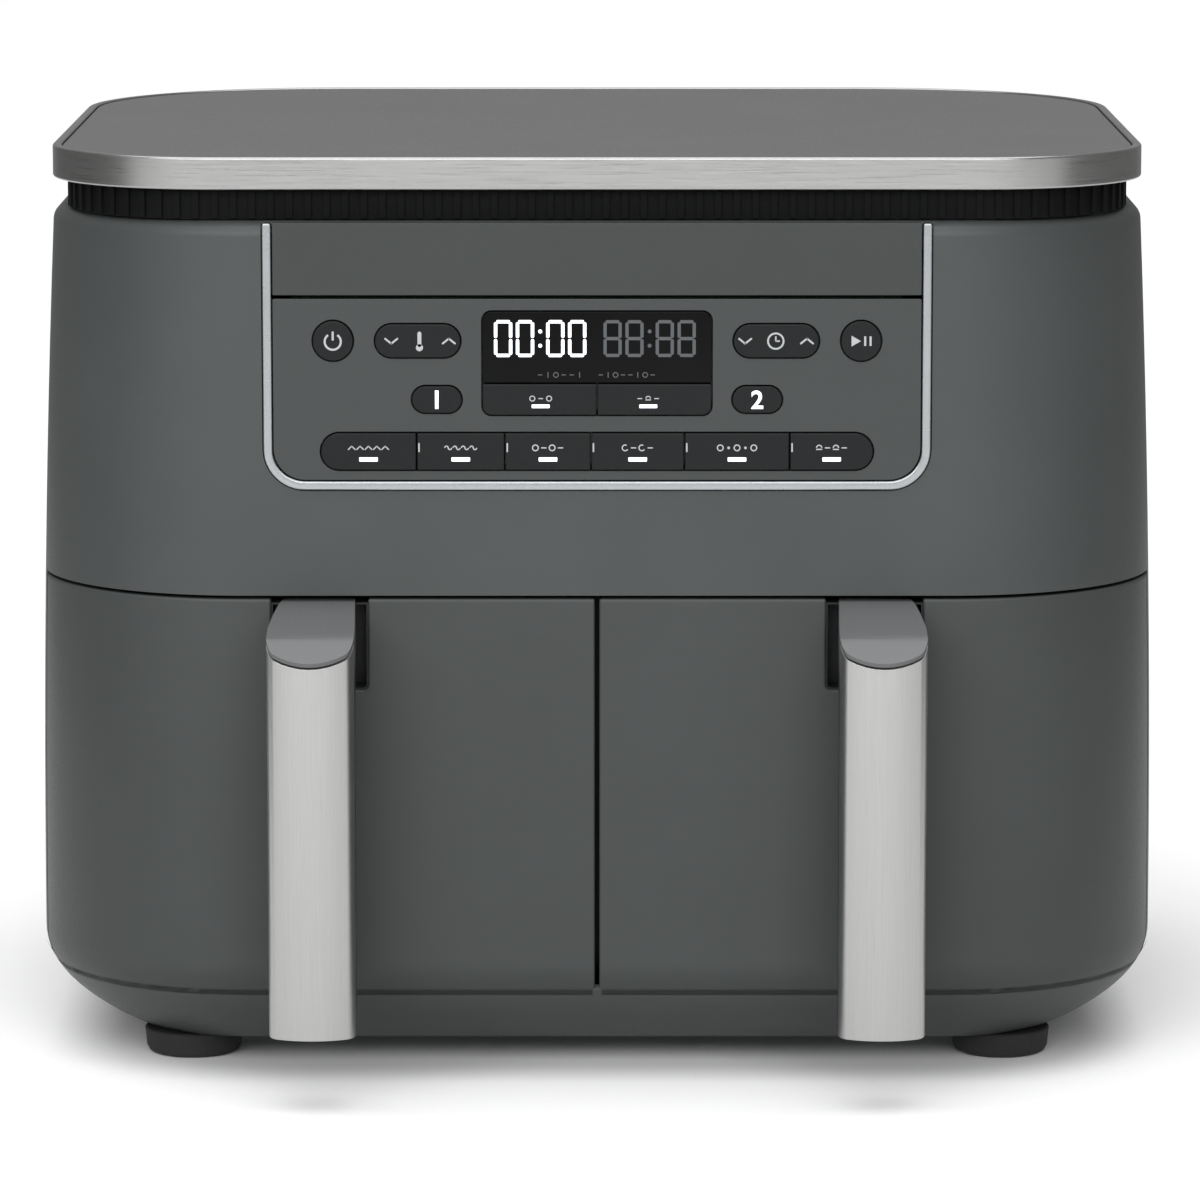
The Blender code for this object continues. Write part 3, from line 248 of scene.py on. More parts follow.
def new_verts(items):
    return [item for item in items if isinstance(item, bmesh.types.BMVert)]


def prism(bm, outline, x, width):
    """Adds an outline of (y, z) points, drawn out from x over this width."""
    face = bm.faces.new([bm.verts.new((x, y, z)) for y, z in outline])
    made = bmesh.ops.extrude_face_region(bm, geom=[face])["geom"]
    bmesh.ops.translate(bm, vec=(width, 0, 0), verts=new_verts(made))


def spin(bm, points, lines, angle, steps, centre=(0, 0, 0), merge=False):
    """Spins points and lines about an upright axis and returns every point of the result."""
    before = set(bm.verts) - set(points)
    bmesh.ops.spin(
        bm, geom=points + lines, cent=centre, axis=(0, 0, 1), angle=angle, steps=steps, use_merge=merge
    )
    return [v for v in bm.verts if v not in before]


def turn_profile(bm, profile, centre, steps=48, closed=False, along="Z"):
    """Spins a profile of (radius, height) points round an upright axis, or one that runs back along Y."""
    points = [bm.verts.new((radius, 0, height)) for radius, height in profile]
    lines = [bm.edges.new(pair) for pair in zip(points, points[1:])]
    if closed:
        lines.append(bm.edges.new((points[-1], points[0])))
    made = spin(bm, points, lines, 2 * math.pi, steps, merge=True)
    place = Matrix.Translation(centre)
    if along == "Y":
        place = place @ Matrix.Rotation(math.radians(-90), 4, "X")
    bmesh.ops.transform(bm, matrix=place, verts=made)


def cut_plane(bm, point, normal, drop=None, fill=False):
    """Cuts along a plane. drop removes the side the normal points to ("front") or the other ("back")."""
    found = bmesh.ops.bisect_plane(
        bm,
        geom=[*bm.verts, *bm.edges, *bm.faces],
        plane_co=point,
        plane_no=normal,
        clear_outer=drop == "front",
        clear_inner=drop == "back",
    )
    if fill:
        rim = [item for item in found["geom_cut"] if isinstance(item, bmesh.types.BMEdge)]
        bmesh.ops.edgeloop_fill(bm, edges=rim)


def stand_up(bm, height=0.0):
    """Turns flat work upright onto the front of the body: x stays, y becomes z, and up becomes forwards."""
    place = Matrix.Translation((0, FRONT - height, 0)) @ Matrix.Rotation(math.radians(90), 4, "X")
    bmesh.ops.transform(bm, matrix=place, verts=bm.verts)


def make_object(name, bm):
    mesh = bpy.data.meshes.new(name)
    bm.to_mesh(mesh)
    bm.free()
    made = bpy.data.objects.new(name, mesh)
    bpy.context.scene.collection.objects.link(made)
    return made


def link_mesh(name, bm):
    """Merges doubles, turns the faces outwards and makes the object."""
    bmesh.ops.remove_doubles(bm, verts=bm.verts, dist=1e-6)
    bmesh.ops.recalc_face_normals(bm, faces=bm.faces)
    return make_object(name, bm)


def evaluated_mesh(thing):
    """The mesh that an object's modifiers, or its curve, come to."""
    bpy.context.view_layer.update()
    graph = bpy.context.evaluated_depsgraph_get()
    return bpy.data.meshes.new_from_object(thing.evaluated_get(graph))


def apply_modifiers(thing):
    """Replaces an object's mesh with what its modifiers make of it."""
    old = thing.data
    made = evaluated_mesh(thing)
    thing.modifiers.clear()
    thing.data = made
    made.name = old.name
    bpy.data.meshes.remove(old)


def add_curve(bm, curve):
    """Adds a curve or a figure to the mesh, and leaves nothing of it in the scene."""
    holder = bpy.data.objects.new(curve.name, curve)
    bpy.context.scene.collection.objects.link(holder)
    mesh = evaluated_mesh(holder)
    bpy.data.objects.remove(holder, do_unlink=True)
    bpy.data.curves.remove(curve)
    bm.from_mesh(mesh)
    bpy.data.meshes.remove(mesh)


def place_piece(made, finish, body, replaces=()):
    """Gives a piece its finish and its place in the frame."""
    material, slot = FINISH[finish]
    made.data.materials.clear()
    made.data.materials.append(material)
    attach(made, body)
    if replaces:
        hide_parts(*replaces)


def make_piece(
    name, bm, finish, body, replaces=(), wall=0.0, cuts=(), keeps=(), edge=0.0, steps=2, clamp=True
):
    """Turns a bmesh into a finished piece: wall, cuts, rounded edges and smooth shading."""
    made = link_mesh(name, bm)
    if wall:
        step = made.modifiers.new("wall", "SOLIDIFY")
        step.thickness = wall
        step.offset = -1
        step.use_even_offset = True
    tools = []
    for operation, shapes in (("DIFFERENCE", cuts), ("INTERSECT", keeps)):
        for shape in shapes:
            tools.append(link_mesh("tool", shape))
            step = made.modifiers.new("tool", "BOOLEAN")
            step.object = tools[-1]
            step.operation = operation
            step.solver = "EXACT"
    if edge:
        step = made.modifiers.new("edges", "BEVEL")
        step.width = edge
        step.segments = steps
        step.limit_method = "ANGLE"
        step.angle_limit = SHARP
        step.use_clamp_overlap = clamp
    apply_modifiers(made)
    for tool in tools:
        bpy.data.objects.remove(tool, do_unlink=True)
    made.data.shade_smooth()
    made.data.set_sharp_from_angle(angle=SHARP)
    step = made.modifiers.new("normals", "WEIGHTED_NORMAL")
    step.keep_sharp = True
    apply_modifiers(made)
    place_piece(made, finish, body, replaces)


# Places that come from the frame

BODY_LOW, BODY_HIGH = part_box("housing_shell")
FRONT, REAR, DECK = BODY_LOW.y, BODY_HIGH.y, BODY_HIGH.z
UNDERSIDE, BASE_TOP = (corner.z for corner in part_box("base_tray"))
DRAWER_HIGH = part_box("drawer_front_right")[1]
SEAM = DRAWER_HIGH.z + 0.00115  # where the housing begins over the drawers


# Finishes


def add_node(tree, kind, settings=None, links=None):
    """Adds a node with its settings, and the links that feed it: input to (source node, output)."""
    node = tree.nodes.new(kind)
    for key, value in (settings or {}).items():
        if isinstance(key, int) or key in node.inputs:
            node.inputs[key].default_value = value
        else:
            setattr(node, key, value)
    for key, (source, output) in (links or {}).items():
        tree.links.new(source.outputs[output], node.inputs[key])
    return node


def start_finish(name):
    """A new material's node tree, with the object coordinates that its patterns are laid on."""
    made = bpy.data.materials.new(name)
    made.use_nodes = True
    made.node_tree.nodes.clear()
    return made, made.node_tree, add_node(made.node_tree, "ShaderNodeTexCoord")


def end_finish(made, settings, links):
    """Adds the shader with what feeds it, and returns the material."""
    tree = made.node_tree
    shader = add_node(tree, "ShaderNodeBsdfPrincipled", settings, links)
    add_node(tree, "ShaderNodeOutputMaterial", None, {"Surface": (shader, 0)})
    return made


def ramp(low, high, start=0.3, end=0.7):
    """Settings that carry a pattern's range over to a range of values."""
    return {"From Min": start, "From Max": end, "To Min": low, "To Max": high}


def blend(first, second):
    """Settings that mix two colours."""
    return {"data_type": "RGBA", 6: first, 7: second}


def moulded_plastic(name, shade, roughness, grain_mm, depth_mm, mottle=0.05, ior=1.5):
    """A moulding: fine spark-eroded grain in the normal and roughness, and slow, faint changes of shade."""
    made, tree, place = start_finish(name)
    spots = {"Vector": (place, "Object")}
    cloud = add_node(tree, "ShaderNodeTexNoise", {"Scale": 1 / (45 * MM), "Detail": 3.0}, spots)
    slow = add_node(tree, "ShaderNodeMapRange", ramp(0.0, 1.0), {"Value": (cloud, 0)})
    base = add_node(
        tree, "ShaderNodeMix", blend(scaled(shade, 1 - mottle), scaled(shade, 1 + mottle)), {0: (slow, 0)}
    )
    settings = {"Scale": 1 / (grain_mm * MM), "Detail": 2.0, "Roughness": 0.6}
    fine = add_node(tree, "ShaderNodeTexNoise", settings, spots)
    dull = add_node(
        tree, "ShaderNodeMapRange", ramp(roughness - 0.05, roughness + 0.07), {"Value": (fine, 0)}
    )
    bump = add_node(
        tree, "ShaderNodeBump", {"Strength": 0.35, "Distance": depth_mm * MM}, {"Height": (fine, 0)}
    )
    return end_finish(made, {"IOR": ior}, {"Base Color": (base, 2), "Roughness": (dull, 0), "Normal": (bump, 0)})


def brushed_steel(name, shade, stretch, roughness, line_mm=0.5):
    """Steel with a grain of fine parallel scratches. Each scratch is long along the brushing
    and a few hundredths of a millimetre across, drawn about ten times as wide so that it shows."""
    made, tree, place = start_finish(name)
    laid = add_node(tree, "ShaderNodeMapping", {"Scale": stretch}, {"Vector": (place, "Object")})
    settings = {"Scale": 1 / (line_mm * MM), "Detail": 4.0, "Roughness": 0.7}
    lines = add_node(tree, "ShaderNodeTexNoise", settings, {"Vector": (laid, 0)})
    share = add_node(tree, "ShaderNodeMapRange", ramp(0.0, 1.0), {"Value": (lines, 0)})
    base = add_node(tree, "ShaderNodeMix", blend(scaled(shade, 0.93), scaled(shade, 1.05)), {0: (share, 0)})
    dull = add_node(
        tree, "ShaderNodeMapRange", ramp(roughness - 0.06, roughness + 0.08), {"Value": (lines, 0)}
    )
    bump = add_node(tree, "ShaderNodeBump", {"Strength": 0.25, "Distance": 0.04 * MM}, {"Height": (lines, 0)})
    return end_finish(
        made, {"Metallic": 1.0}, {"Base Color": (base, 2), "Roughness": (dull, 0), "Normal": (bump, 0)}
    )


def even_finish(name, first, second, size_mm, settings, sheen=None, detail=2.0, stretch=(1, 1, 1)):
    """A smooth surface whose shade, and sheen where a range of roughness is given, drift over size_mm or so."""
    made, tree, place = start_finish(name)
    laid = add_node(tree, "ShaderNodeMapping", {"Scale": stretch}, {"Vector": (place, "Object")})
    drift = add_node(
        tree, "ShaderNodeTexNoise", {"Scale": 1 / (size_mm * MM), "Detail": detail}, {"Vector": (laid, 0)}
    )
    links = {"Base Color": (add_node(tree, "ShaderNodeMix", blend(first, second), {0: (drift, 0)}), 2)}
    if sheen:
        links["Roughness"] = (add_node(tree, "ShaderNodeMapRange", ramp(*sheen), {"Value": (drift, 0)}), 0)
    return end_finish(made, settings, links)


def rolled_sheet(name, shade, roughness, spangle_mm):
    """Coated sheet steel: dull, with large faint crystals in the coating."""
    made, tree, place = start_finish(name)
    settings = {"Scale": 1 / (spangle_mm * MM), "Randomness": 0.9}
    cells = add_node(tree, "ShaderNodeTexVoronoi", settings, {"Vector": (place, "Object")})
    grey = add_node(tree, "ShaderNodeSeparateColor", None, {"Color": (cells, "Color")})
    base = add_node(tree, "ShaderNodeMix", blend(scaled(shade, 0.9), scaled(shade, 1.08)), {0: (grey, 0)})
    dull = add_node(
        tree, "ShaderNodeMapRange", ramp(roughness - 0.06, roughness + 0.1, 0.0, 1.0), {"Value": (grey, 0)}
    )
    return end_finish(made, {"Metallic": 1.0}, {"Base Color": (base, 2), "Roughness": (dull, 0)})


def nonstick_coating(name, shade):
    """Sprayed non-stick coating: satin, with a light orange peel and pale mineral flecks under a millimetre wide."""
    made, tree, place = start_finish(name)
    spots = {"Vector": (place, "Object")}
    cells = add_node(tree, "ShaderNodeTexVoronoi", {"Scale": 420.0}, spots)
    fleck = add_node(tree, "ShaderNodeMapRange", ramp(1.0, 0.0, 0.10, 0.22), {"Value": (cells, 0)})
    patch = add_node(tree, "ShaderNodeTexNoise", {"Scale": 1 / (4 * MM), "Detail": 2.0}, spots)
    rare = add_node(tree, "ShaderNodeMapRange", ramp(0.0, 0.5, 0.5, 0.62), {"Value": (patch, 0)})
    both = add_node(tree, "ShaderNodeMath", {"operation": "MULTIPLY"}, {0: (fleck, 0), 1: (rare, 0)})
    base = add_node(tree, "ShaderNodeMix", blend(shade, scaled(shade, 4.0)), {0: (both, 0)})
    peel = add_node(tree, "ShaderNodeTexNoise", {"Scale": 1 / (1.6 * MM), "Detail": 1.0}, spots)
    dull = add_node(tree, "ShaderNodeMapRange", ramp(0.32, 0.46), {"Value": (peel, 0)})
    bump = add_node(tree, "ShaderNodeBump", {"Strength": 0.3, "Distance": 0.06 * MM}, {"Height": (peel, 0)})
    links = {"Base Color": (base, 2), "Roughness": (dull, 0), "Normal": (bump, 0)}
    return end_finish(made, {"Specular IOR Level": 0.6}, links)


def glowing_segment(name, shade, strength):
    """A lit segment: light spread by the plastic over it, a touch uneven."""
    made, tree, place = start_finish(name)
    settings = {"Scale": 1 / (2.5 * MM), "Detail": 2.0}
    uneven = add_node(tree, "ShaderNodeTexNoise", settings, {"Vector": (place, "Object")})
    glow = add_node(tree, "ShaderNodeMapRange", ramp(strength * 0.9, strength * 1.08), {"Value": (uneven, 0)})
    settings = {"Base Color": shade, "Roughness": 0.4, "Emission Color": shade}
    return end_finish(made, settings, {"Emission Strength": (glow, 0)})


def circuit_board(name, shade):
    """Green solder resist over copper tracks, which show as lighter lines about 2 mm apart."""
    made, tree, place = start_finish(name)
    laid = add_node(tree, "ShaderNodeMapping", {"Scale": (1, 1, 1.7)}, {"Vector": (place, "Object")})
    settings = {"Scale": 1 / (2 * MM), "feature": "DISTANCE_TO_EDGE", "Randomness": 0.35}
    cells = add_node(tree, "ShaderNodeTexVoronoi", settings, {"Vector": (laid, 0)})
    track = add_node(tree, "ShaderNodeMapRange", ramp(1.0, 0.0, 0.03, 0.09), {"Value": (cells, 0)})
    base = add_node(tree, "ShaderNodeMix", blend(shade, scaled(shade, 2.2)), {0: (track, 0)})
    return end_finish(made, {"Roughness": 0.4, "Coat Weight": 0.3}, {"Base Color": (base, 2)})


def printed_ink(name, shade):
    """Screen-printed ink: matt, very slightly uneven in cover."""
    return even_finish(name, scaled(shade, 0.85), scaled(shade, 1.1), 0.5, {"Roughness": 0.55})


def make_finishes(look):
    """Every finish by a short name, with the slot that it fills."""
    housing, panel, black = tuple(look.housing), tuple(look.panel), tuple(look.black)
    steel, chrome, smoke = tuple(look.steel), tuple(look.chrome), srgb("#060607")
    return {
        # Slate ABS, moulded in a spark-eroded tool: a dry, even sheen that goes soft towards the edges.
        # Its grain is 0.1 mm and is drawn at 0.7 mm.
        "housing": (
            moulded_plastic("slate_abs_spark_grain", housing, 0.46, 0.7, 0.05, ior=1.42),
            "housing_grey",
        ),
        # The drawers use the housing's ABS drawn a shade darker: a painted shade for the lower front, which gets
        # less light than the housing over it.
        "drawer": (
            moulded_plastic("slate_abs_spark_grain_painted_shade", scaled(housing, 0.80), 0.46, 0.7, 0.05, ior=1.42),
            "housing_grey",
        ),
        # The panel is painted over the same ABS: finer, a little glossier.
        "panel": (
            moulded_plastic("slate_abs_satin_paint", panel, 0.36, 1.0, 0.02, 0.03, 1.42),
            "panel_grey",
        ),
        # The blank strip over the panel has the same paint, drawn a shade deeper as a painted shadow of the lid over
        # it.
        "strip": (
            moulded_plastic("slate_abs_satin_paint_painted_shadow", scaled(panel, 0.82), 0.36, 1.0, 0.02, 0.03, 1.42),
            "panel_grey",
        ),
        # Black ABS: matt, keeps its blackness in open light.
        "black": (moulded_plastic("black_abs_matt", black, 0.5, 0.8, 0.04, ior=1.4), "black_plastic"),
        # Vent band: the same black plastic, left dull and darkened further to deep black as a painted shadow under
        # the lid's overhang.
        "vent": (
            moulded_plastic("black_abs_painted_shadow", scaled(black, 0.35), 0.7, 0.8, 0.04, ior=1.2),
            "black_plastic",
        ),
        # Key caps: smooth moulding, with a soft highlight along their edges.
        "keys": (
            moulded_plastic("black_abs_smooth", tuple(look.keys), 0.36, 1.2, 0.01, 0.02, 1.3),
            "key_black",
        ),
        # Neck: mid grey ABS with a satin tool finish.
        "neck": (moulded_plastic("grey_abs_satin", tuple(look.neck), 0.42, 0.9, 0.02, 0.03), "neck_grey"),
        # Top plate: powder-like satin paint that spreads the light evenly.
        "plate": (moulded_plastic("grey_satin_paint", tuple(look.plate), 0.5, 0.9, 0.03, 0.03), "lid_grey"),
        # Rubber: no clear highlight, a dusty bloom.
        "rubber": (moulded_plastic("black_rubber", srgb("#282828"), 0.82, 1.1, 0.06, 0.12), "rubber"),
        # Silicone: softer and lighter than the rubber.
        "silicone": (moulded_plastic("grey_silicone", srgb("#3A3B3C"), 0.62, 1.4, 0.03, 0.06), "rubber"),
        # The rim is brushed lengthways, so its highlights stretch up and down.
        "rim_steel": (
            brushed_steel("stainless_brushed_level", scaled(steel, 0.87), (0.02, 0.02, 1.0), 0.3),
            "brushed_steel",
        ),
        # The covers are brushed upright, so their highlights spread sideways.
        "cover_steel": (
            brushed_steel("stainless_brushed_upright", steel, (1.0, 1.0, 0.015), 0.33),
            "brushed_steel",
        ),
        # Satin chrome on ABS: bright, with softened reflections and slow changes of sheen.
        "chrome": (
            even_finish(
                "satin_chrome", scaled(chrome, 0.96), scaled(chrome, 1.04), 12.0, {"Metallic": 1.0}, (0.25, 0.31)
            ),
            "chrome",
        ),
        # Turned steel shafts and pressed motor cans.
        "motor": (brushed_steel("turned_steel", srgb("#A8AAAC"), (1.0, 1.0, 0.2), 0.34, 0.8), None),
        # Aluminised steel of the liners and reflectors.
        "sheet": (rolled_sheet("aluminised_steel", srgb("#9DA0A2"), 0.42, 9.0), None),
        # Sheathed heater: steel darkened by heat.
        "heater": (
            brushed_steel("heat_darkened_steel", srgb("#4A443E"), (0.2, 0.2, 0.2), 0.5, 1.5),
            "heater_metal",
        ),
        # Baskets and plates: dark, with a sparse sparkle of flecks.
        "nonstick": (nonstick_coating("nonstick_sprayed", srgb("#2B2C2E")), "nonstick"),
        # Tinted acrylic over the display: almost black, glossy, with the faintest wiping marks.
        "window": (
            even_finish(
                "smoked_acrylic",
                scaled(smoke, 0.8),
                scaled(smoke, 1.3),
                14.0,
                {"IOR": 1.33, "Specular IOR Level": 0.2},
                (0.06, 0.14),
                3.0,
                (1, 1, 0.3),
            ),
            "display_glass",
        ),
        # Figures that are lit, and the same figures unlit.
        "lit": (glowing_segment("lit_white_segment", srgb("#F4F8FF"), 1.1), "display_lit"),
        "dim": (printed_ink("unlit_segment", srgb("#56595C")), "display_glass"),
        # The signs on the keys.
        "ink": (printed_ink("pale_grey_ink", srgb("#C4C7C9")), "display_lit"),
        "board": (circuit_board("solder_resist_green", srgb("#15452A")), None),
    }


FINISH = {}


# Body


def body_skin(sizes):
    """The closed outer form of the body, from its underside to the deck."""
    bm = bmesh.new()
    radii = (sizes.front_radius, sizes.front_radius, sizes.rear_radius, sizes.rear_radius)
    straight = UNDERSIDE + sizes.curve_height
    bottom = rounded_face(bm, BODY_LOW.xy, BODY_HIGH.xy, radii, sizes.corner_steps, straight)
    rings, levels, deck_width = 12, 14, 0.018
    rise = (DECK - sizes.shoulder - straight) / rings
    top = extrude(bm, bottom, rise)
    grow(bm, top, [(0.0, rise)] * (rings - 1))
    grow(bm, top, fillet(sizes.shoulder, sizes.shoulder, 6))
    grow(bm, top, [(deck_width - sizes.shoulder, 0.0)])
    bottom.normal_update()
    drawn = [sizes.curve_depth * (i / levels) ** sizes.curve_power for i in range(levels + 1)]
    grow(bm, bottom, [(b - a, sizes.curve_height / levels) for a, b in zip(drawn, drawn[1:])])
    for corner in bm.verts:
        share = max(0.0, (corner.co.z - straight) / (DECK - straight))
        corner.co.x -= math.copysign(sizes.side_taper * share**2, corner.co.x)
    return bm


def build_housing(sizes):
    bm = body_skin(sizes)
    end = DRAWER_HIGH.y + 0.0015
    cut_plane(bm, (0, 0, BASE_TOP + GAP), (0, 0, 1), "back")
    cut_plane(bm, (0, 0, SEAM), (0, 0, 1))
    cut_plane(bm, (0, end, 0), (0, 1, 0))
    gone = []
    for face in bm.faces:
        middle = face.calc_center_median()
        over_drawers = middle.z < SEAM and middle.y < end
        lid_hole = middle.z > DECK - 1e-5 and len(face.verts) > 20
        if over_drawers or lid_hole:
            gone.append(face)
    bmesh.ops.delete(bm, geom=gone, context="FACES")

    notch = bmesh.new()
    low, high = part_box("panel_trim")
    corner, depth = 0.0143, 0.0034
    outline = ((low.x - GAP, low.z - GAP), (high.x + GAP, DECK + 0.02))
    slab(notch, *outline, (corner, corner, 0.0, 0.0), -depth, 0.03, steps=10)
    stand_up(notch)
    exhaust = bmesh.new()
    low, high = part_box("rear_cover")
    border = 0.01
    box(
        exhaust, (low.x + border, REAR - 0.02, low.z + border), (high.x - border, REAR + 0.02, high.z - border)
    )
    hole = bmesh.new()
    low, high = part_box("cord_gland")
    radius = 0.0091
    centre = ((low.x + high.x) / 2, REAR, (low.z + high.z) / 2)
    turn_profile(hole, [(0, -0.02), (radius, -0.02), (radius, 0.02), (0, 0.02)], centre, along="Y")
    make_piece(
        "housing",
        bm,
        "housing",
        "body",
        ["housing_shell"],
        wall=sizes.wall,
        cuts=[notch, exhaust, hole],
        edge=0.0005,
    )


def build_base(sizes):
    bm = body_skin(sizes)
    cut_plane(bm, (0, 0, BASE_TOP), (0, 0, 1), "front")
    vents = bmesh.new()
    pitch, half_width, half_length = 0.016, 0.002, 0.028
    for column in range(-5, 6):
        for y in (-0.045, 0.045):
            slot_hole(vents, column * pitch, y, half_width, half_length, half_width, 0.0, 0.02)
    make_piece("base", bm, "housing", "body", ["base_tray"], wall=0.0025, cuts=[vents], edge=0.0004)
    for end in ("front", "rear"):
        for side, _ in SIDES:
            low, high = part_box(f"foot_{end}_{side}")
            radius = (high.x - low.x) / 2
            bm = bmesh.new()
            # A hollow under the middle, a tread, a rounded edge, and the straight side up to the base.
            profile = [(0.0, 0.0012), (radius * 0.45, 0.0012), (radius * 0.5, 0.0)]
            profile += [(radius - 0.0032, 0.0), (radius - 0.0014, 0.0007), (radius - 0.0006, 0.0022)]
            profile += [(radius, high.z - 0.0005), (radius - 0.0005, high.z), (0.0, high.z)]
            turn_profile(bm, profile, ((low.x + high.x) / 2, (low.y + high.y) / 2, 0))
            make_piece(f"foot_pad_{end}_{side}", bm, "rubber", "body", [f"foot_{end}_{side}"])


def build_rear():
    low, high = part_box("rear_cover")
    depth = high.y - REAR
    bm = bmesh.new()
    slab(bm, (low.x, low.z), (high.x, high.z), (0.008,) * 4, GAP, depth, 0.0016)
    slots = bmesh.new()
    count, margin, end = 8, 0.008, 0.013
    pitch = (high.z - low.z - 2 * margin) / count
    for i in range(count):
        z = low.z + margin + pitch * (i + 0.5)
        reach = pitch * 0.24
        outline = ((low.x + end, z - reach), (high.x - end, z + reach))
        slab(slots, *outline, (reach,) * 4, depth - 0.004, depth + 0.01)
    for work in (bm, slots):
        place = Matrix.Translation((0, REAR, 0)) @ Matrix.Rotation(math.radians(90), 4, "X")
        bmesh.ops.transform(work, matrix=place, verts=work.verts)
        bmesh.ops.scale(work, vec=(1, -1, 1), space=Matrix.Translation((0, -REAR, 0)), verts=work.verts)
    make_piece("exhaust_cover", bm, "black", "body", ["rear_cover"], cuts=[slots], edge=0.0003)

    low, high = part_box("cord_gland")
    centre = ((low.x + high.x) / 2, REAR, (low.z + high.z) / 2)
    radius = (high.x - low.x) / 2
    reach = high.y - REAR
    bore, seat, behind = 0.0038, radius - 0.0037, -0.0035
    # From the bore out through the wall, round the flange, and down the sleeve to its end.
    profile = [(bore, behind), (seat, behind), (seat, GAP), (radius - 0.0006, GAP)]
    profile += [(radius, 0.0009), (radius, 0.0024), (radius - 0.0008, 0.0030), (radius - 0.0045, 0.0042)]
    profile += [(radius - 0.0055, reach - 0.0008), (radius - 0.0063, reach), (bore, reach)]
    bm = bmesh.new()
    turn_profile(bm, profile, centre, closed=True, along="Y")
    make_piece("gland", bm, "rubber", "body", ["cord_gland"])


# Lid


def heading(angle):
    return Vector((math.cos(angle), math.sin(angle), 0))


def perimeter(low, high, front, rear, pitch):
    """Places along a rounded rectangle at an even pitch, each with the angle that it faces."""
    corners = (
        (high[0] - rear, high[1] - rear, rear),
        (low[0] + rear, high[1] - rear, rear),
        (low[0] + front, low[1] + front, front),
        (high[0] - front, low[1] + front, front),
    )
    for k, (x, y, radius) in enumerate(corners):
        count = max(1, round(radius * math.pi / 2 / pitch))
        for i in range(count + 1):
            angle = math.radians(90 * k + 90 * i / count)
            end = Vector((x, y, 0)) + heading(angle) * radius
            yield end, angle
        after = (k + 1) % 4
        x, y, radius = corners[after]
        angle = math.radians(90 * after)
        begin = Vector((x, y, 0)) + heading(angle) * radius
        number = round((begin - end).length / pitch)
        for i in range(1, number):
            yield end.lerp(begin, i / number), angle


def build_lid(sizes):
    low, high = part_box("lid_rim")
    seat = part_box("top_plate")[0].z - GAP
    edge, steps = sizes.edge, 28
    radii = (sizes.front_radius,) * 2 + (sizes.rear_radius,) * 2
    bm = bmesh.new()
    under = rounded_face(bm, low.xy, high.xy, radii, steps, low.z + edge)
    top = extrude(bm, under, high.z - low.z - 2 * edge)
    under.normal_update()
    grow(bm, top, fillet(edge, edge, 4))
    grow(bm, top, [(sizes.lip - edge - 0.0004, 0.0), (0.0004, -GAP), (0.0, seat - high.z + GAP)])
    grow(bm, top, [(sizes.ledge - sizes.lip, 0.0)])
    grow(bm, under, fillet(edge, edge, 4))
    grow(bm, under, [(sizes.lip - edge, 0.0), (0.0, low.z - seat + 0.0032)])
    grow(bm, under, [(sizes.ledge - sizes.lip, 0.0)])
    rims = [*top.edges, *under.edges]
    bmesh.ops.delete(bm, geom=[top, under], context="FACES_ONLY")
    bmesh.ops.bridge_loops(bm, edges=rims)
    make_piece("rim", bm, "rim_steel", "body", ["lid_rim"])

    low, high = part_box("top_plate")
    bm = bmesh.new()
    radii = [radius - sizes.lip - GAP for radius in radii]
    slab(bm, low.xy, high.xy, radii, low.z, high.z, 0.0009, steps)
    make_piece("plate", bm, "plate", "body", ["top_plate"])

    low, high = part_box("vent_band")
    depth = sizes.rib_depth
    inset = 0.005 + depth  # how far the band stands inside the rim
    outer = (low.xy + Vector((depth, depth)), high.xy - Vector((depth, depth)))
    front, rear = sizes.front_radius - inset, sizes.rear_radius - inset
    bm = bmesh.new()
    face = rounded_face(bm, *outer, (front, front, rear, rear), steps, low.z)
    grow(bm, face, [(0.0018, 0.0)])
    bmesh.ops.delete(bm, geom=[face], context="FACES")
    raised = bmesh.ops.extrude_face_region(bm, geom=list(bm.faces))["geom"]
    bmesh.ops.translate(bm, vec=(0, 0, high.z - low.z), verts=new_verts(raised))
    middle = Vector((0, 0, (high.z + low.z) / 2))
    for place, angle in perimeter(*outer, front, rear, sizes.rib_pitch):
        rib = bmesh.ops.create_cube(bm, size=1.0)["verts"]
        bmesh.ops.scale(bm, vec=(2 * depth, 0.0021, high.z - low.z - 0.0008), verts=rib)
        turn = Matrix.Translation(place + middle) @ Matrix.Rotation(angle, 4, "Z")
        bmesh.ops.transform(bm, matrix=turn, verts=rib)
    make_piece("vent", bm, "vent", "body", ["vent_band"])


# Control panel

ROUND_KEYS = ("power_key", "start_key", "temperature_rocker", "time_rocker", "zone_one_key", "zone_two_key")
FRAMED_KEYS = ("sync_key", "match_key", *[f"function_key_{i}" for i in range(1, 7)])
FLANGE = 0.001  # how far a key's flange reaches behind the fascia
CRISP = 0.0004  # radius of a framed key's crisp corners
WINDOW_CORNER = 0.003


def panel_box(node):
    """A panel node's outline as (x, z) corners, and its back and front as heights over the body's front."""
    low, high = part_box(node)
    return (low.x, low.z), (high.x, high.z), FRONT - high.y, FRONT - low.y


def key_radii(node):
    """Corner radii of a key: low left, low right, high left, high right."""
    low, high, _, _ = panel_box(node)
    end = (high[1] - low[1]) / 2
    if node in ROUND_KEYS:
        return (end,) * 4
    special = {
        "function_key_1": (end, CRISP, end, CRISP),
        "function_key_6": (CRISP, end, CRISP, end),
        "sync_key": (WINDOW_CORNER, CRISP, CRISP, CRISP),
        "match_key": (CRISP, WINDOW_CORNER, CRISP, CRISP),
    }
    return special.get(node, (CRISP,) * 4)


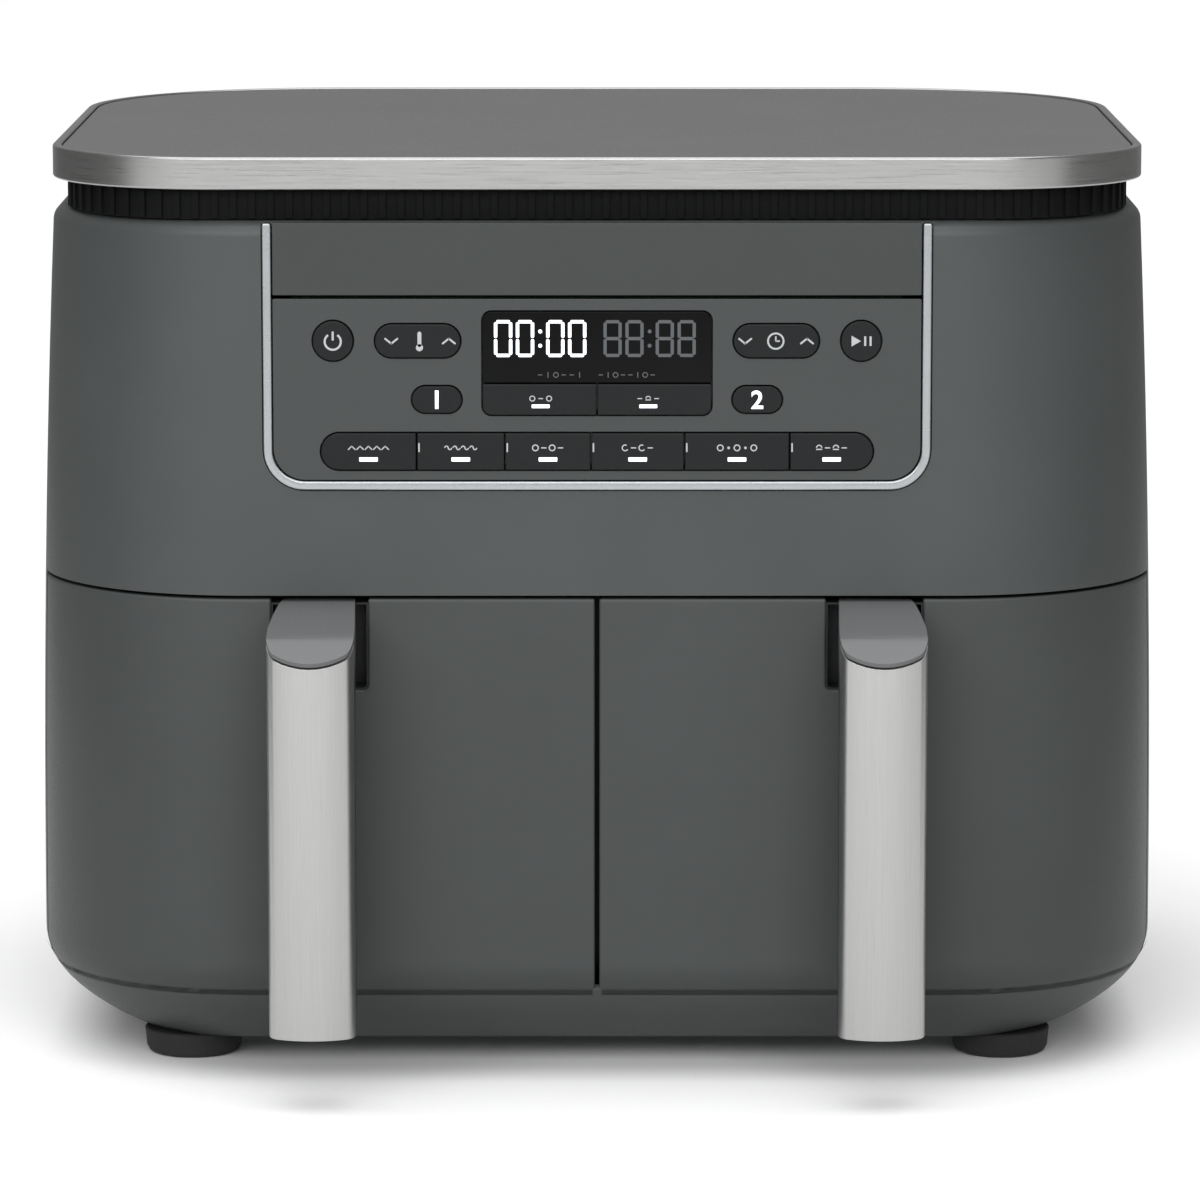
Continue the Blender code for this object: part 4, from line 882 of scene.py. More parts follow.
def key_face(node):
    """The outline of a key's cap, which its flange behind the fascia is wider than."""
    low, high, _, _ = panel_box(node)
    side = FLANGE if node in ROUND_KEYS else 0.0
    return (low[0] + side, low[1] + FLANGE), (high[0] - side, high[1] - FLANGE)


def build_panel(sizes):
    low, high, back, front = panel_box("panel_trim")
    bm = bmesh.new()
    radius = sizes.trim_radius
    face = rounded_face(bm, low, (high[0], high[1] + 0.03), (radius, radius, 0.0, 0.0), 12, front)
    grow(bm, face, [(sizes.trim_width, 0.0)])
    bmesh.ops.delete(bm, geom=[face], context="FACES")
    cut_plane(bm, (0, high[1], 0), (0, 1, 0), "front")
    stand_up(bm)
    make_piece("trim", bm, "chrome", "body", ["panel_trim"], wall=front - back, edge=0.0007, steps=3)

    low, high, back, front = panel_box("upper_fascia")
    bm = bmesh.new()
    slab(bm, low, high, (0.0005,) * 4, back, front, 0.0003)
    stand_up(bm)
    make_piece("upper_panel", bm, "strip", "body", ["upper_fascia"])

    low, high, back, front = panel_box("control_fascia")
    corner = radius - sizes.trim_width - GAP
    bm = bmesh.new()
    slab(bm, low, high, (corner, corner, 0.0005, 0.0005), back, front, 0.0002, 10)
    stand_up(bm)
    openings = [(*key_face(node), None, 12) for node in ROUND_KEYS]
    openings.append((key_face("function_key_1")[0], key_face("function_key_6")[1], None, 12))
    window = panel_box("display_window")
    openings.append(((window[0][0], key_face("sync_key")[0][1]), window[1], 0.0034, 8))
    holes = bmesh.new()
    gap = sizes.key_gap
    for low, high, end, steps in openings:
        end = end or (high[1] - low[1]) / 2 + gap
        outline = ((low[0] - gap, low[1] - gap), (high[0] + gap, high[1] + gap))
        slab(holes, *outline, (end,) * 4, back - 0.01, front + 0.01, steps=steps)
    stand_up(holes)
    make_piece("control_panel", bm, "panel", "body", ["control_fascia"], cuts=[holes], edge=0.0002, steps=1)

    low, high, back, front = window
    bm = bmesh.new()
    slab(bm, low, high, (CRISP, CRISP, WINDOW_CORNER, WINDOW_CORNER), back, front, 0.0003)
    stand_up(bm)
    make_piece("window", bm, "window", "body", ["display_window"])

    fascia_back = panel_box("control_fascia")[2]
    stem = 0.0015  # half the width of the stem behind a key
    for node in (*ROUND_KEYS, *FRAMED_KEYS):
        outline = key_face(node)
        low, high, back, front = panel_box(node)
        radii = key_radii(node)
        rear = fascia_back - (0.001 if node.endswith("rocker") else GAP)
        steps = 14 if node in ROUND_KEYS else 8
        cap = [min(r, (outline[1][1] - outline[0][1]) / 2) for r in radii]
        bm = bmesh.new()
        slab(bm, *outline, cap, rear - 0.0002, front, sizes.key_edge, steps)
        slab(bm, low, high, radii, rear - FLANGE, rear, steps=steps)
        x, z = (low[0] + high[0]) / 2, (low[1] + high[1]) / 2
        slot_hole(bm, x, z, stem, stem, CRISP, back, rear - FLANGE)
        stand_up(bm)
        make_piece(f"{node}_cap", bm, "keys", f"{node}_body", [node])


# Marks on the panel


def turned_at(x, z, turn):
    return Matrix.Translation((x, z, 0)) @ Matrix.Rotation(math.radians(turn), 4, "Z")


def bar(bm, x, z, width, height, turn=0.0, ends=0.0):
    """A flat bar about a point of the panel."""
    face = rounded_face(bm, (-width / 2, -height / 2), (width / 2, height / 2), (ends,) * 4, 2)
    bmesh.ops.transform(bm, matrix=turned_at(x, z, turn), verts=face.verts)


def ring(bm, x, z, radius, stroke, start=0.0, sweep=360.0):
    """A flat ring, or a part of one, about a point of the panel."""
    out = heading(math.radians(start))
    ends = [bm.verts.new(out * (radius + side * stroke / 2)) for side in (-1, 1)]
    made = spin(bm, ends, [bm.edges.new(ends)], math.radians(sweep), 24, merge=sweep == 360.0)
    bmesh.ops.translate(bm, vec=(x, z, 0), verts=made)


def dot(bm, x, z, radius, segments=14, turn=0.0):
    bmesh.ops.create_circle(
        bm, cap_ends=True, radius=radius, segments=segments, matrix=turned_at(x, z, turn)
    )


def chevron(bm, x, z, width, height, stroke, sign=1):
    """An arrowhead of two bars that meet at its point, upwards or, with a sign of -1, downwards."""
    slope = math.degrees(math.atan2(height, width / 2))
    reach = math.hypot(width / 2, height) + stroke * 0.6
    for side in (-1, 1):
        bar(bm, x + side * width / 4, z, reach, stroke, -side * sign * slope, stroke * 0.3)


def mark(bm, x, z, kind, size):
    """One small picture on a key: each is about as wide and tall as its size."""
    stroke = size * 0.17
    if kind == "^":
        chevron(bm, x, z, size, size * 0.5, stroke)
    elif kind == "o":
        ring(bm, x, z, size * 0.42, stroke)
    elif kind == "c":
        ring(bm, x, z, size * 0.42, stroke, 60.0, 270.0)
    elif kind == "-":
        bar(bm, x, z, size * 0.8, stroke, 0.0, stroke * 0.3)
    elif kind == ".":
        dot(bm, x, z, size * 0.2)
    elif kind == "|":
        bar(bm, x, z, stroke, size, 0.0, stroke * 0.3)
    elif kind == "~":
        ring(bm, x - size * 0.25, z, size * 0.25, stroke, 0.0, 180.0)
        ring(bm, x + size * 0.25, z, size * 0.25, stroke, 180.0, 180.0)
    elif kind == "n":
        ring(bm, x, z, size * 0.38, stroke, 0.0, 180.0)
        bar(bm, x, z - size * 0.22, size * 0.9, stroke, 0.0, stroke * 0.3)


def figure(bm, x, z, words, height):
    """A figure from the built-in font, flattened and centred on a point of the panel."""
    curve = bpy.data.curves.new("figure", "FONT")
    curve.body = words
    curve.align_x = "CENTER"
    curve.align_y = "CENTER"
    curve.offset = 0.02
    add_curve(bm, curve)
    low, high = (Vector(pick(v.co[k] for v in bm.verts) for k in range(3)) for pick in (min, max))
    middle = (low + high) / 2
    size = Matrix.Scale(height / (high.y - low.y), 4)
    place = Matrix.Translation((x, z, 0)) @ size @ Matrix.Translation((-middle.x, -middle.y, 0))
    bmesh.ops.transform(bm, matrix=place, verts=bm.verts)


def marks_piece(name, bm, height, finish, body, thickness):
    """Flat marks as thin ink on a surface at this height over the body's front."""
    stand_up(bm, height + thickness)
    for face in bm.faces:
        face.normal_update()
        if face.normal.y > 0:
            face.normal_flip()
    bmesh.ops.solidify(bm, geom=bm.faces, thickness=-thickness)
    bmesh.ops.recalc_face_normals(bm, faces=bm.faces)
    place_piece(make_object(name, bm), finish, body)


def digit(bm, x, z, width, height, stroke, parts):
    """A seven-segment figure: a to f clockwise from the top, and g across the middle."""
    half_w, half_h = (width - stroke) / 2, (height - stroke) / 2
    across, up = width - stroke * 1.35, half_h - stroke * 0.35
    places = {
        "a": (0, half_h, across, stroke),
        "b": (half_w, half_h / 2, stroke, up),
        "c": (half_w, -half_h / 2, stroke, up),
        "d": (0, -half_h, across, stroke),
        "e": (-half_w, -half_h / 2, stroke, up),
        "f": (-half_w, half_h / 2, stroke, up),
        "g": (0, 0, across, stroke),
    }
    for part in parts:
        dx, dz, wide, tall = places[part]
        bar(bm, x + dx, z + dz, wide, tall, 0.0, stroke * 0.42)


def build_display(sizes):
    low, high, _, front = panel_box("display_window")
    z = high[1] - 0.0090
    stroke = sizes.digit_stroke
    for name, finish, first, parts in (
        ("time_digits", "lit", -0.0313, "abcdef"),
        ("spare_digits", "dim", 0.0052, "abcdefg"),
    ):
        bm = bmesh.new()
        for shift in (0.0, 0.0073, 0.0174, 0.0247):
            digit(bm, first + shift, z, 0.0061, 0.0124, stroke, parts)
        for side in (-1, 1):
            dot(bm, first + 0.01235, z + side * 0.0024, stroke * 0.6)
        marks_piece(name, bm, front, finish, "body", sizes.ink)
    bm = bmesh.new()
    for start, end in ((-0.0203, -0.0045), (0.0, 0.0198)):
        count = round((end - start) / 0.0026)
        for i in range(count):
            mark(bm, start + (end - start) * (i + 0.5) / count, low[1] + 0.0027, "-|o-"[i % 4], 0.0019)
    marks_piece("status_row", bm, front, "dim", "body", sizes.ink)


def sign(node, name, finish, ink, *shapes):
    """Marks on a key's face. Each shape is a function, its place from the key's middle, and its sizes."""
    low, high, _, front = panel_box(node)
    bm = bmesh.new()
    for draw, dx, dz, *rest in shapes:
        draw(bm, (low[0] + high[0]) / 2 + dx, (low[1] + high[1]) / 2 + dz, *rest)
    marks_piece(name, bm, front, finish, f"{node}_body", ink)


def picture(kinds, size, shift, rise):
    """Small pictures in a row, as shapes for a sign."""
    pitch, middle = 0.0028, (len(kinds) - 1) / 2
    return [(mark, shift + (i - middle) * pitch, rise, kind, size) for i, kind in enumerate(kinds)]


def build_marks(sizes):
    ink = sizes.ink
    wide, tall, thin = 0.0042, 0.0017, 0.0006  # the arrowheads
    sign(
        "power_key",
        "power_mark",
        "ink",
        ink,
        (ring, 0, -0.0002, 0.0027, 0.0007, 125.0, 290.0),
        (bar, 0, 0.0017, 0.0007, 0.0030),
    )
    sign(
        "start_key",
        "start_mark",
        "ink",
        ink,
        (dot, -0.0022, 0, 0.0021, 3, -90.0),
        (bar, 0.0013, 0, 0.0007, 0.0032),
        (bar, 0.0031, 0, 0.0007, 0.0032),
    )
    sign(
        "temperature_rocker",
        "temperature_marks",
        "ink",
        ink,
        (chevron, -0.0088, 0, wide, tall, thin, -1),
        (chevron, 0.0104, 0, wide, tall, thin),
        (bar, 0.0006, 0.0006, 0.0013, 0.0052, 0.0, 0.0006),
        (dot, 0.0006, -0.0022, 0.0012),
    )
    sign(
        "time_rocker",
        "time_marks",
        "ink",
        ink,
        (chevron, -0.0104, 0, wide, tall, thin, -1),
        (chevron, 0.0102, 0, wide, tall, thin),
        (ring, -0.0002, 0, 0.0026, 0.0006),
        (bar, -0.0002, 0.0008, 0.0005, 0.0017),
        (bar, 0.0004, 0, 0.0015, 0.0005),
    )
    for node, number in (("zone_one_key", "1"), ("zone_two_key", "2")):
        sign(node, f"{node}_figure", "lit", ink, (figure, 0, 0, number, 0.0062))
    for node, shift, kinds in (("sync_key", 0.0004, "o-o"), ("match_key", -0.0021, "-n-")):
        sign(node, f"{node}_sign", "ink", ink, *picture(kinds, 0.0020, shift, 0.0004))
        sign(node, f"{node}_light", "lit", ink, (bar, shift, -0.0022, 0.0060, 0.0012, 0.0, 0.0002))
    for i, kinds in enumerate(("^^^^^", "~~~~", "o-o-", "c-c-", "o.o.o", "n-n-")):
        node = f"function_key_{i + 1}"
        sign(node, f"{node}_sign", "ink", ink, *picture(kinds, 0.0023, 0, 0.0013))
        sign(node, f"{node}_light", "lit", ink, (bar, 0, -0.0026, 0.0062, 0.0014, 0.0, 0.0002))
        if i:
            low, high, _, _ = panel_box(node)
            edge = 0.0006 - (high[0] - low[0]) / 2
            sign(node, f"{node}_tick", "ink", ink, (bar, edge, 0.0014, 0.0005, 0.0030))


# Drawers and handles

NECK_SHIFT = 0.0016  # how far the neck's root stands nearer the middle than the grip
POCKET_REACH, POCKET_DROP, POCKET_DEPTH, POCKET_CORNER = 0.0163, 0.0304, 0.0125, 0.002


def build_drawer_front(side, sign, sizes):
    bm = body_skin(sizes)
    low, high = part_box(f"drawer_front_{side}")
    inner = low.x if sign > 0 else high.x
    cut_plane(bm, (0, 0, low.z), (0, 0, 1), "back")
    cut_plane(bm, (0, 0, high.z), (0, 0, 1), "front")
    cut_plane(bm, (inner, 0, 0), (sign, 0, 0), "back")
    cut_plane(bm, (0, high.y + 0.008, 0), (0, 1, 0), "front")
    end = bmesh.new()
    box(end, (-0.3, high.y, 0.0), (0.3, high.y + 0.1, 0.3))
    grip_low, grip_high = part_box(f"handle_grip_{side}")
    middle = (grip_low.x + grip_high.x) / 2 - sign * NECK_SHIFT
    left, right, foot = middle - POCKET_REACH, middle + POCKET_REACH, grip_high.z - POCKET_DROP
    radii = (POCKET_CORNER, POCKET_CORNER, 0.0, 0.0)
    pocket = bmesh.new()
    slab(pocket, (left, foot), (right, grip_high.z + 0.02), radii, -POCKET_DEPTH, 0.02, steps=4)
    stand_up(pocket)
    make_piece(
        f"drawer_face_{side}",
        bm,
        "drawer",
        f"drawer_{side}",
        [f"drawer_front_{side}"],
        wall=0.014,
        cuts=[end, pocket],
        edge=0.0008,
        steps=3,
        clamp=False,
    )
    # A thin black sheet over the pocket's walls, a painted shadow round the neck: the walls themselves are the
    # drawer's slate plastic.
    pocket_shadow = bmesh.new()
    face = rounded_face(pocket_shadow, (left, foot), (right, grip_high.z - 0.0008), radii, 4, -POCKET_DEPTH)
    top = extrude(pocket_shadow, face, POCKET_DEPTH - 0.0012)
    bmesh.ops.delete(pocket_shadow, geom=[top], context="FACES_ONLY")
    stand_up(pocket_shadow)
    make_piece(f"pocket_painted_shadow_{side}", pocket_shadow, "black", f"drawer_{side}", wall=0.0006)


def grip_plan(bm, centre_x, front, back, half, sizes, level, draw_in=0.0):
    """The handle's plan: flat sides and back, and a crowned front with rounded corners. Returns its face."""
    crown = sizes.crown
    radius = (half**2 + crown**2) / (2 * crown)
    reach = math.asin(half / radius)
    start = bm.verts.new((-half, front + crown, 0))
    arc = spin(bm, [start], [], 2 * reach, 10, (0, front + radius, 0))
    arc.sort(key=lambda v: v.co.x)
    rear = [bm.verts.new((half, back, 0)), bm.verts.new((-half, back, 0))]
    face_up(bm.faces.new([*arc, *rear]))
    for corner, size in ((arc[0], sizes.corner), (arc[-1], sizes.corner), (rear[0], 0.003), (rear[1], 0.003)):
        round_corner(bm, corner, size, 6)
    bmesh.ops.remove_doubles(bm, verts=bm.verts, dist=0.0003)
    face = max(bm.faces, key=lambda f: f.calc_area())
    if draw_in:
        grow(bm, face, [(draw_in, 0.0)])
        bmesh.ops.delete(bm, geom=[f for f in bm.faces if f is not face], context="FACES")
    bmesh.ops.translate(bm, vec=(centre_x, 0, level), verts=bm.verts)
    return face


def build_handle(side, sign, sizes):
    cover_low, cover_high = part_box(f"handle_cover_{side}")
    grip_low, grip_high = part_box(f"handle_grip_{side}")
    centre, half = (cover_low.x + cover_high.x) / 2, (cover_high.x - cover_low.x) / 2
    front, joint_y = cover_low.y, cover_high.y
    back = front + 0.016
    root, top, foot = grip_high.y, grip_high.z, grip_low.z
    cap = 0.0013  # thickness of the neck where it lies over the cover
    body = f"drawer_{side}"
    # The neck's upper surface from its root forwards: level at first, then down over the front.
    hood = [(root, top), (FRONT - 0.004, top - 0.0003), (FRONT - 0.016, top - 0.0022)]
    hood += [(back + 0.0030, top - 0.0047), (back - 0.0035, top - 0.0058), (back - 0.0078, top - 0.0068)]
    hood += [(front - 0.0006, top - 0.0142)]

    def above(drop):
        """Everything over the neck's upper surface, or over a copy of it this much lower."""
        points = [(y, z - drop) for y, z in hood]
        outline = [(root + 0.02, top - drop), *points, (front - 0.02, points[-1][1] - 0.012)]
        outline += [(front - 0.02, top + 0.03), (root + 0.02, top + 0.03)]
        bm = bmesh.new()
        prism(bm, outline, centre - 0.03, 0.06)
        return bm

    bm = bmesh.new()
    face = grip_plan(bm, centre, front, back, half, sizes, cover_low.z)
    extrude(bm, face, 0.14)
    bmesh.ops.delete(bm, geom=[f for f in bm.faces if abs(f.normal.z) > 0.9], context="FACES")
    cut_plane(bm, (0, joint_y, 0), (0, 1, 0), "front")
    make_piece(
        f"cover_{side}",
        bm,
        "cover_steel",
        body,
        [f"handle_cover_{side}"],
        wall=sizes.sheet,
        cuts=[above(cap + sizes.joint)],
        edge=0.0003,
    )

    outline = [*hood, (front - 0.0006, hood[-1][1] - cap), (hood[-2][0], hood[-2][1] - cap)]
    outline += [(joint_y + GAP, hood[-3][1] - cap - 0.0016), (joint_y + GAP, foot), (back, foot)]
    # The hollow behind the grip curves back to the root.
    outline += [(back, top - 0.0400), (back + 0.0008, top - 0.0330), (back + 0.0036, top - 0.0275)]
    outline += [(back + 0.0084, top - 0.0238), (back + 0.0150, top - 0.0220), (root, top - 0.0212)]
    narrow = sizes.root_width / 2 / half
    split = top - 0.0200  # the grey neck above, and the grip below it drawn black
    for name, dropped, level, finish, stands_for in (
        ("grip", "back", split, "neck", [f"handle_grip_{side}"]),
        ("grip_back", "front", split - 0.0002, "black", []),
    ):
        bm = bmesh.new()
        prism(bm, outline, -half, 2 * half)
        ridge = [
            edge
            for edge in bm.edges
            if abs(edge.verts[0].co.x - edge.verts[1].co.x) < 1e-6
            and all(v.co.y > back - 0.004 and v.co.z > top - 0.0075 for v in edge.verts)
        ]
        bmesh.ops.recalc_face_normals(bm, faces=bm.faces)
        bmesh.ops.bevel(
            bm,
            geom=ridge,
            offset=sizes.edge,
            offset_type="OFFSET",
            segments=4,
            profile=0.5,
            affect="EDGES",
            material=-1,
            clamp_overlap=True,
        )
        for corner in bm.verts:
            share = min(1.0, max(0.0, (root - corner.co.y) / (root - back - 0.004)))
            corner.co.x *= narrow + (1 - narrow) * share
            corner.co.x += centre - sign * NECK_SHIFT * (1 - share)
        cut_plane(bm, (0, 0, level), (0, 0, 1), dropped, True)
        plan = bmesh.new()
        face = grip_plan(plan, centre, front, root + 0.01, half, sizes, -0.01)
        extrude(plan, face, 0.3)
        # A hair wider, so that its sides don't lie in the grip's own.
        bmesh.ops.scale(plan, vec=(1.0005, 1, 1), space=Matrix.Translation((-centre, 0, 0)), verts=plan.verts)
        make_piece(f"{name}_{side}", bm, finish, body, stands_for, keeps=[plan], edge=0.0004)

    bm = bmesh.new()
    face = grip_plan(bm, centre, front, joint_y + 0.004, half, sizes, foot, sizes.sheet + GAP)
    extrude(bm, face, 0.14)
    make_piece(f"grip_core_{side}", bm, "black", body, cuts=[above(cap + 0.0002)], edge=0.0003)


def build_basket(side, sizes):
    low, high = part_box(f"basket_{side}")
    lip, lip_edge, rings = 0.0022, 0.0010, 6
    radius = sizes.basket_radius + lip
    wall, floor, taper = sizes.basket_wall, sizes.floor_radius, sizes.basket_taper
    bm = bmesh.new()
    under = rounded_face(bm, low.xy, high.xy, (radius,) * 4, 14, high.z - 0.0014)
    top = extrude(bm, under, 0.0004)
    grow(bm, top, fillet(lip_edge, lip_edge, 3))
    under.normal_update()
    grow(bm, under, [(0.0004, 0.0006), (lip - 0.0004, 0.0)])
    fall = high.z - 0.0020 - low.z - floor
    grow(bm, under, [(taper / rings, fall / rings)] * rings)
    grow(bm, under, fillet(floor, floor, 6))
    grow(bm, top, [(lip + wall - lip_edge, 0.0)])
    inner = floor - wall
    depth = high.z - low.z - wall - inner
    grow(bm, top, [(taper / rings, -depth / rings)] * rings)
    grow(bm, top, [(draw, -drop) for draw, drop in fillet(inner, inner, 6)])
    middle = (low.y + high.y) / 2
    for corner in bm.verts:
        if corner.co.y < middle:
            corner.co.y -= taper * (high.z - corner.co.z) / (high.z - low.z)
    make_piece(f"pan_{side}", bm, "nonstick", f"drawer_{side}", [f"basket_{side}"])


def build_crisper(side, sizes):
    low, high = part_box(f"crisper_plate_{side}")
    top = high.z
    under = top - 0.002
    radius = sizes.basket_radius - 0.0036
    bm = bmesh.new()
    slab(bm, low.xy, high.xy, (radius,) * 4, under, top, 0.0006, 14)
    slots = bmesh.new()
    rows, columns = sizes.slot_rows, sizes.slot_columns
    size, middle = high - low, (low + high) / 2
    pitch_x, pitch_y = (size.x - 0.026) / columns, (size.y - 0.034) / rows
    for row in range(rows):
        for column in range(columns):
            x = middle.x + pitch_x * (column + 0.5 - columns / 2)
            y = middle.y + pitch_y * (row + 0.5 - rows / 2)
            width = pitch_y * 0.15
            slot_hole(slots, x, y, pitch_x * 0.38, width, width, top - 0.01, top + 0.01, 5)
    make_piece(
        f"crisper_{side}",
        bm,
        "nonstick",
        f"plate_{side}",
        [f"crisper_plate_{side}"],
        cuts=[slots],
        edge=0.0003,
    )
    bm = bmesh.new()
    inset = 0.022
    # A foot under the plate, a neck through it, and a button on top.
    profile = [(0, low.z), (0.0030, low.z), (0.0042, low.z + 0.0012), (0.0046, under), (0.0024, under)]
    profile += [(0.0024, top + 0.0004), (0.0033, top + 0.0006), (0.0028, top + 0.0013), (0, top + 0.0016)]
    for i in (-1, 1):
        for j in (-1, 1):
            centre = (middle.x + i * (size.x / 2 - inset), middle.y + j * (size.y / 2 - inset), 0)
            turn_profile(bm, profile, centre, 20)
    make_piece(f"crisper_feet_{side}", bm, "silicone", f"plate_{side}")


def build_heater(side, sign, sizes):
    """A sheathed element wound as a flat spiral about the motor's shaft."""
    low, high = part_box(f"heater_coil_{side}")
    shaft_low, shaft_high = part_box(f"motor_shaft_{side}")
    centre = (shaft_low + shaft_high) / 2
    curve = bpy.data.curves.new("spiral", "CURVE")
    curve.dimensions = "3D"
    curve.bevel_depth = (high.z - low.z) / 2
    curve.bevel_resolution = 4
    curve.use_fill_caps = True
    line = curve.splines.new("POLY")
    count = 48 * sizes.heater_turns
    line.points.add(count)
    inner, outer = 0.040, 0.061
    for i in range(count + 1):
        angle = 2 * math.pi * sizes.heater_turns * i / count
        reach = inner + (outer - inner) * i / count
        x, y = centre.x + sign * reach * math.cos(angle), centre.y + reach * math.sin(angle)
        line.points[i].co = (x, y, (low.z + high.z) / 2, 1)
    bm = bmesh.new()
    add_curve(bm, curve)
    make_piece(f"heater_{side}", bm, "heater", "body", [f"heater_coil_{side}"])


# Stage


def build_stage(look):
    scene = bpy.context.scene
    scene.view_settings.view_transform = "Standard"
    world = bpy.data.worlds.new("white_room")
    world.use_nodes = True
    back = world.node_tree.nodes["Background"]
    back.inputs["Color"].default_value = (1.0, 1.0, 1.0, 1.0)
    back.inputs["Strength"].default_value = look.room
    scene.world = world

    # Matt paper with a faint mottle of fibres.
    settings = {"Roughness": 0.9, "Specular IOR Level": 0.1}
    paper = even_finish("white_paper", srgb("#F6F6F6"), srgb("#FAFAFA"), 3.0, settings, detail=3.0)
    bm = bmesh.new()
    bmesh.ops.create_grid(bm, x_segments=1, y_segments=1, size=30.0)
    floor = link_mesh("floor", bm)
    floor.data.materials.append(paper)
    floor.visible_diffuse = False

    # Grey board with a soft nap, which the steel and the glossy parts reflect.
    settings = {"Roughness": 1.0, "Specular IOR Level": 0.0}
    board = even_finish("grey_card", srgb("#A8A8A8"), srgb("#B0B0B0"), 4.0, settings)
    for name, low, high in (
        ("card_left", (-0.81, -0.45, 0.0), (-0.80, 1.1, 0.8)),
        ("card_right", (0.80, -0.45, 0.0), (0.81, 1.1, 0.8)),
        ("card_back", (-1.6, 1.1, 0.0), (1.6, 1.11, 0.8)),
    ):
        bm = bmesh.new()
        box(bm, low, high)
        card = link_mesh(name, bm)
        card.data.materials.append(board)
        card.visible_camera = False
        card.visible_shadow = False
        card.visible_diffuse = False

    overhead = bpy.data.lights.new("overhead", "SUN")
    overhead.energy = look.overhead
    overhead.angle = look.spread
    softbox = bpy.data.lights.new("front_softbox", "AREA")
    softbox.shape = "RECTANGLE"
    softbox.size, softbox.size_y = 3.0, 1.0
    softbox.energy = look.front_power
    lens = bpy.data.cameras.new("camera")
    lens.lens = look.lens
    lens.sensor_width = 36.0
    lens.clip_end = 100.0
    spot = Vector((-0.3, -2.0, 1.1))
    aim = (Vector((0, 0, 0.15)) - spot).to_track_quat("-Z", "Y").to_euler()
    for data, place, turn in (
        (overhead, (0, 0, 0), (math.radians(4), math.radians(-3), 0)),
        (softbox, spot, aim),
        (lens, (0.001, -2.233, 0.503), (math.radians(90) - look.tilt, 0, 0)),
    ):
        holder = bpy.data.objects.new(data.name, data)
        holder.location = place
        holder.rotation_euler = turn
        scene.collection.objects.link(holder)
    scene.camera = holder


# Operators


def dress(finish, *nodes):
    """Gives kept CAD nodes their finish, through their objects' slots."""
    for node in nodes:
        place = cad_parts[node].material_slots[0]
        place.link = "OBJECT"
        place.material = FINISH[finish][0]


class AIRFRYER_OT_finishes(bpy.types.Operator):
    """Make every finish and dress the pieces that keep the frame's own shape"""

    bl_idname = "airfryer.finishes"
    bl_label = "Finishes"

    def execute(self, context):
        FINISH.update(make_finishes(context.scene.airfryer_finish))
        dress("black", "front_frame")
        dress("board", "control_board", "power_board")
        for side, _ in SIDES:
            dress("sheet", f"cavity_liner_{side}", f"heat_shield_{side}", f"convection_fan_{side}")
            dress("motor", f"fan_motor_{side}", f"motor_shaft_{side}")
            dress("black", f"cooling_fan_{side}", f"drawer_switch_{side}", f"drawer_back_{side}")
        return {"FINISHED"}


class AIRFRYER_OT_housing(bpy.types.Operator):
    """Build the housing with its openings"""

    bl_idname = "airfryer.housing"
    bl_label = "Housing"

    def execute(self, context):
        build_housing(context.scene.airfryer_body)
        return {"FINISHED"}


class AIRFRYER_OT_base(bpy.types.Operator):
    """Build the base tray and its four feet"""

    bl_idname = "airfryer.base"
    bl_label = "Base and feet"

    def execute(self, context):
        build_base(context.scene.airfryer_body)
        return {"FINISHED"}


class AIRFRYER_OT_rear(bpy.types.Operator):
    """Build the exhaust cover and the cord gland on the back"""

    bl_idname = "airfryer.rear"
    bl_label = "Rear fittings"

    def execute(self, context):
        build_rear()
        return {"FINISHED"}


class AIRFRYER_OT_lid(bpy.types.Operator):
    """Build the steel rim, the top plate and the ribbed vent band"""

    bl_idname = "airfryer.lid"
    bl_label = "Lid"

    def execute(self, context):
        build_lid(context.scene.airfryer_lid)
        return {"FINISHED"}


class AIRFRYER_OT_panel(bpy.types.Operator):
    """Build the trim, the fascias, the window and the keys"""

    bl_idname = "airfryer.panel"
    bl_label = "Control panel"

    def execute(self, context):
        build_panel(context.scene.airfryer_panel)
        return {"FINISHED"}


class AIRFRYER_OT_marks(bpy.types.Operator):
    """Add the display's figures and the signs on the keys"""

    bl_idname = "airfryer.marks"
    bl_label = "Display and signs"

    def execute(self, context):
        build_display(context.scene.airfryer_panel)
        build_marks(context.scene.airfryer_panel)
        return {"FINISHED"}


class AIRFRYER_OT_drawers(bpy.types.Operator):
    """Build both drawer fronts with their pockets"""

    bl_idname = "airfryer.drawers"
    bl_label = "Drawer fronts"

    def execute(self, context):
        for side, sign in SIDES:
            build_drawer_front(side, sign, context.scene.airfryer_body)
        return {"FINISHED"}


class AIRFRYER_OT_handles(bpy.types.Operator):
    """Build both handles: neck and grip, core and metal cover"""

    bl_idname = "airfryer.handles"
    bl_label = "Handles"

    def execute(self, context):
        for side, sign in SIDES:
            build_handle(side, sign, context.scene.airfryer_handle)
        return {"FINISHED"}


class AIRFRYER_OT_baskets(bpy.types.Operator):
    """Build both baskets and their crisper plates"""

    bl_idname = "airfryer.baskets"
    bl_label = "Baskets and plates"

    def execute(self, context):
        for side, _ in SIDES:
            build_basket(side, context.scene.airfryer_cavity)
            build_crisper(side, context.scene.airfryer_cavity)
        return {"FINISHED"}


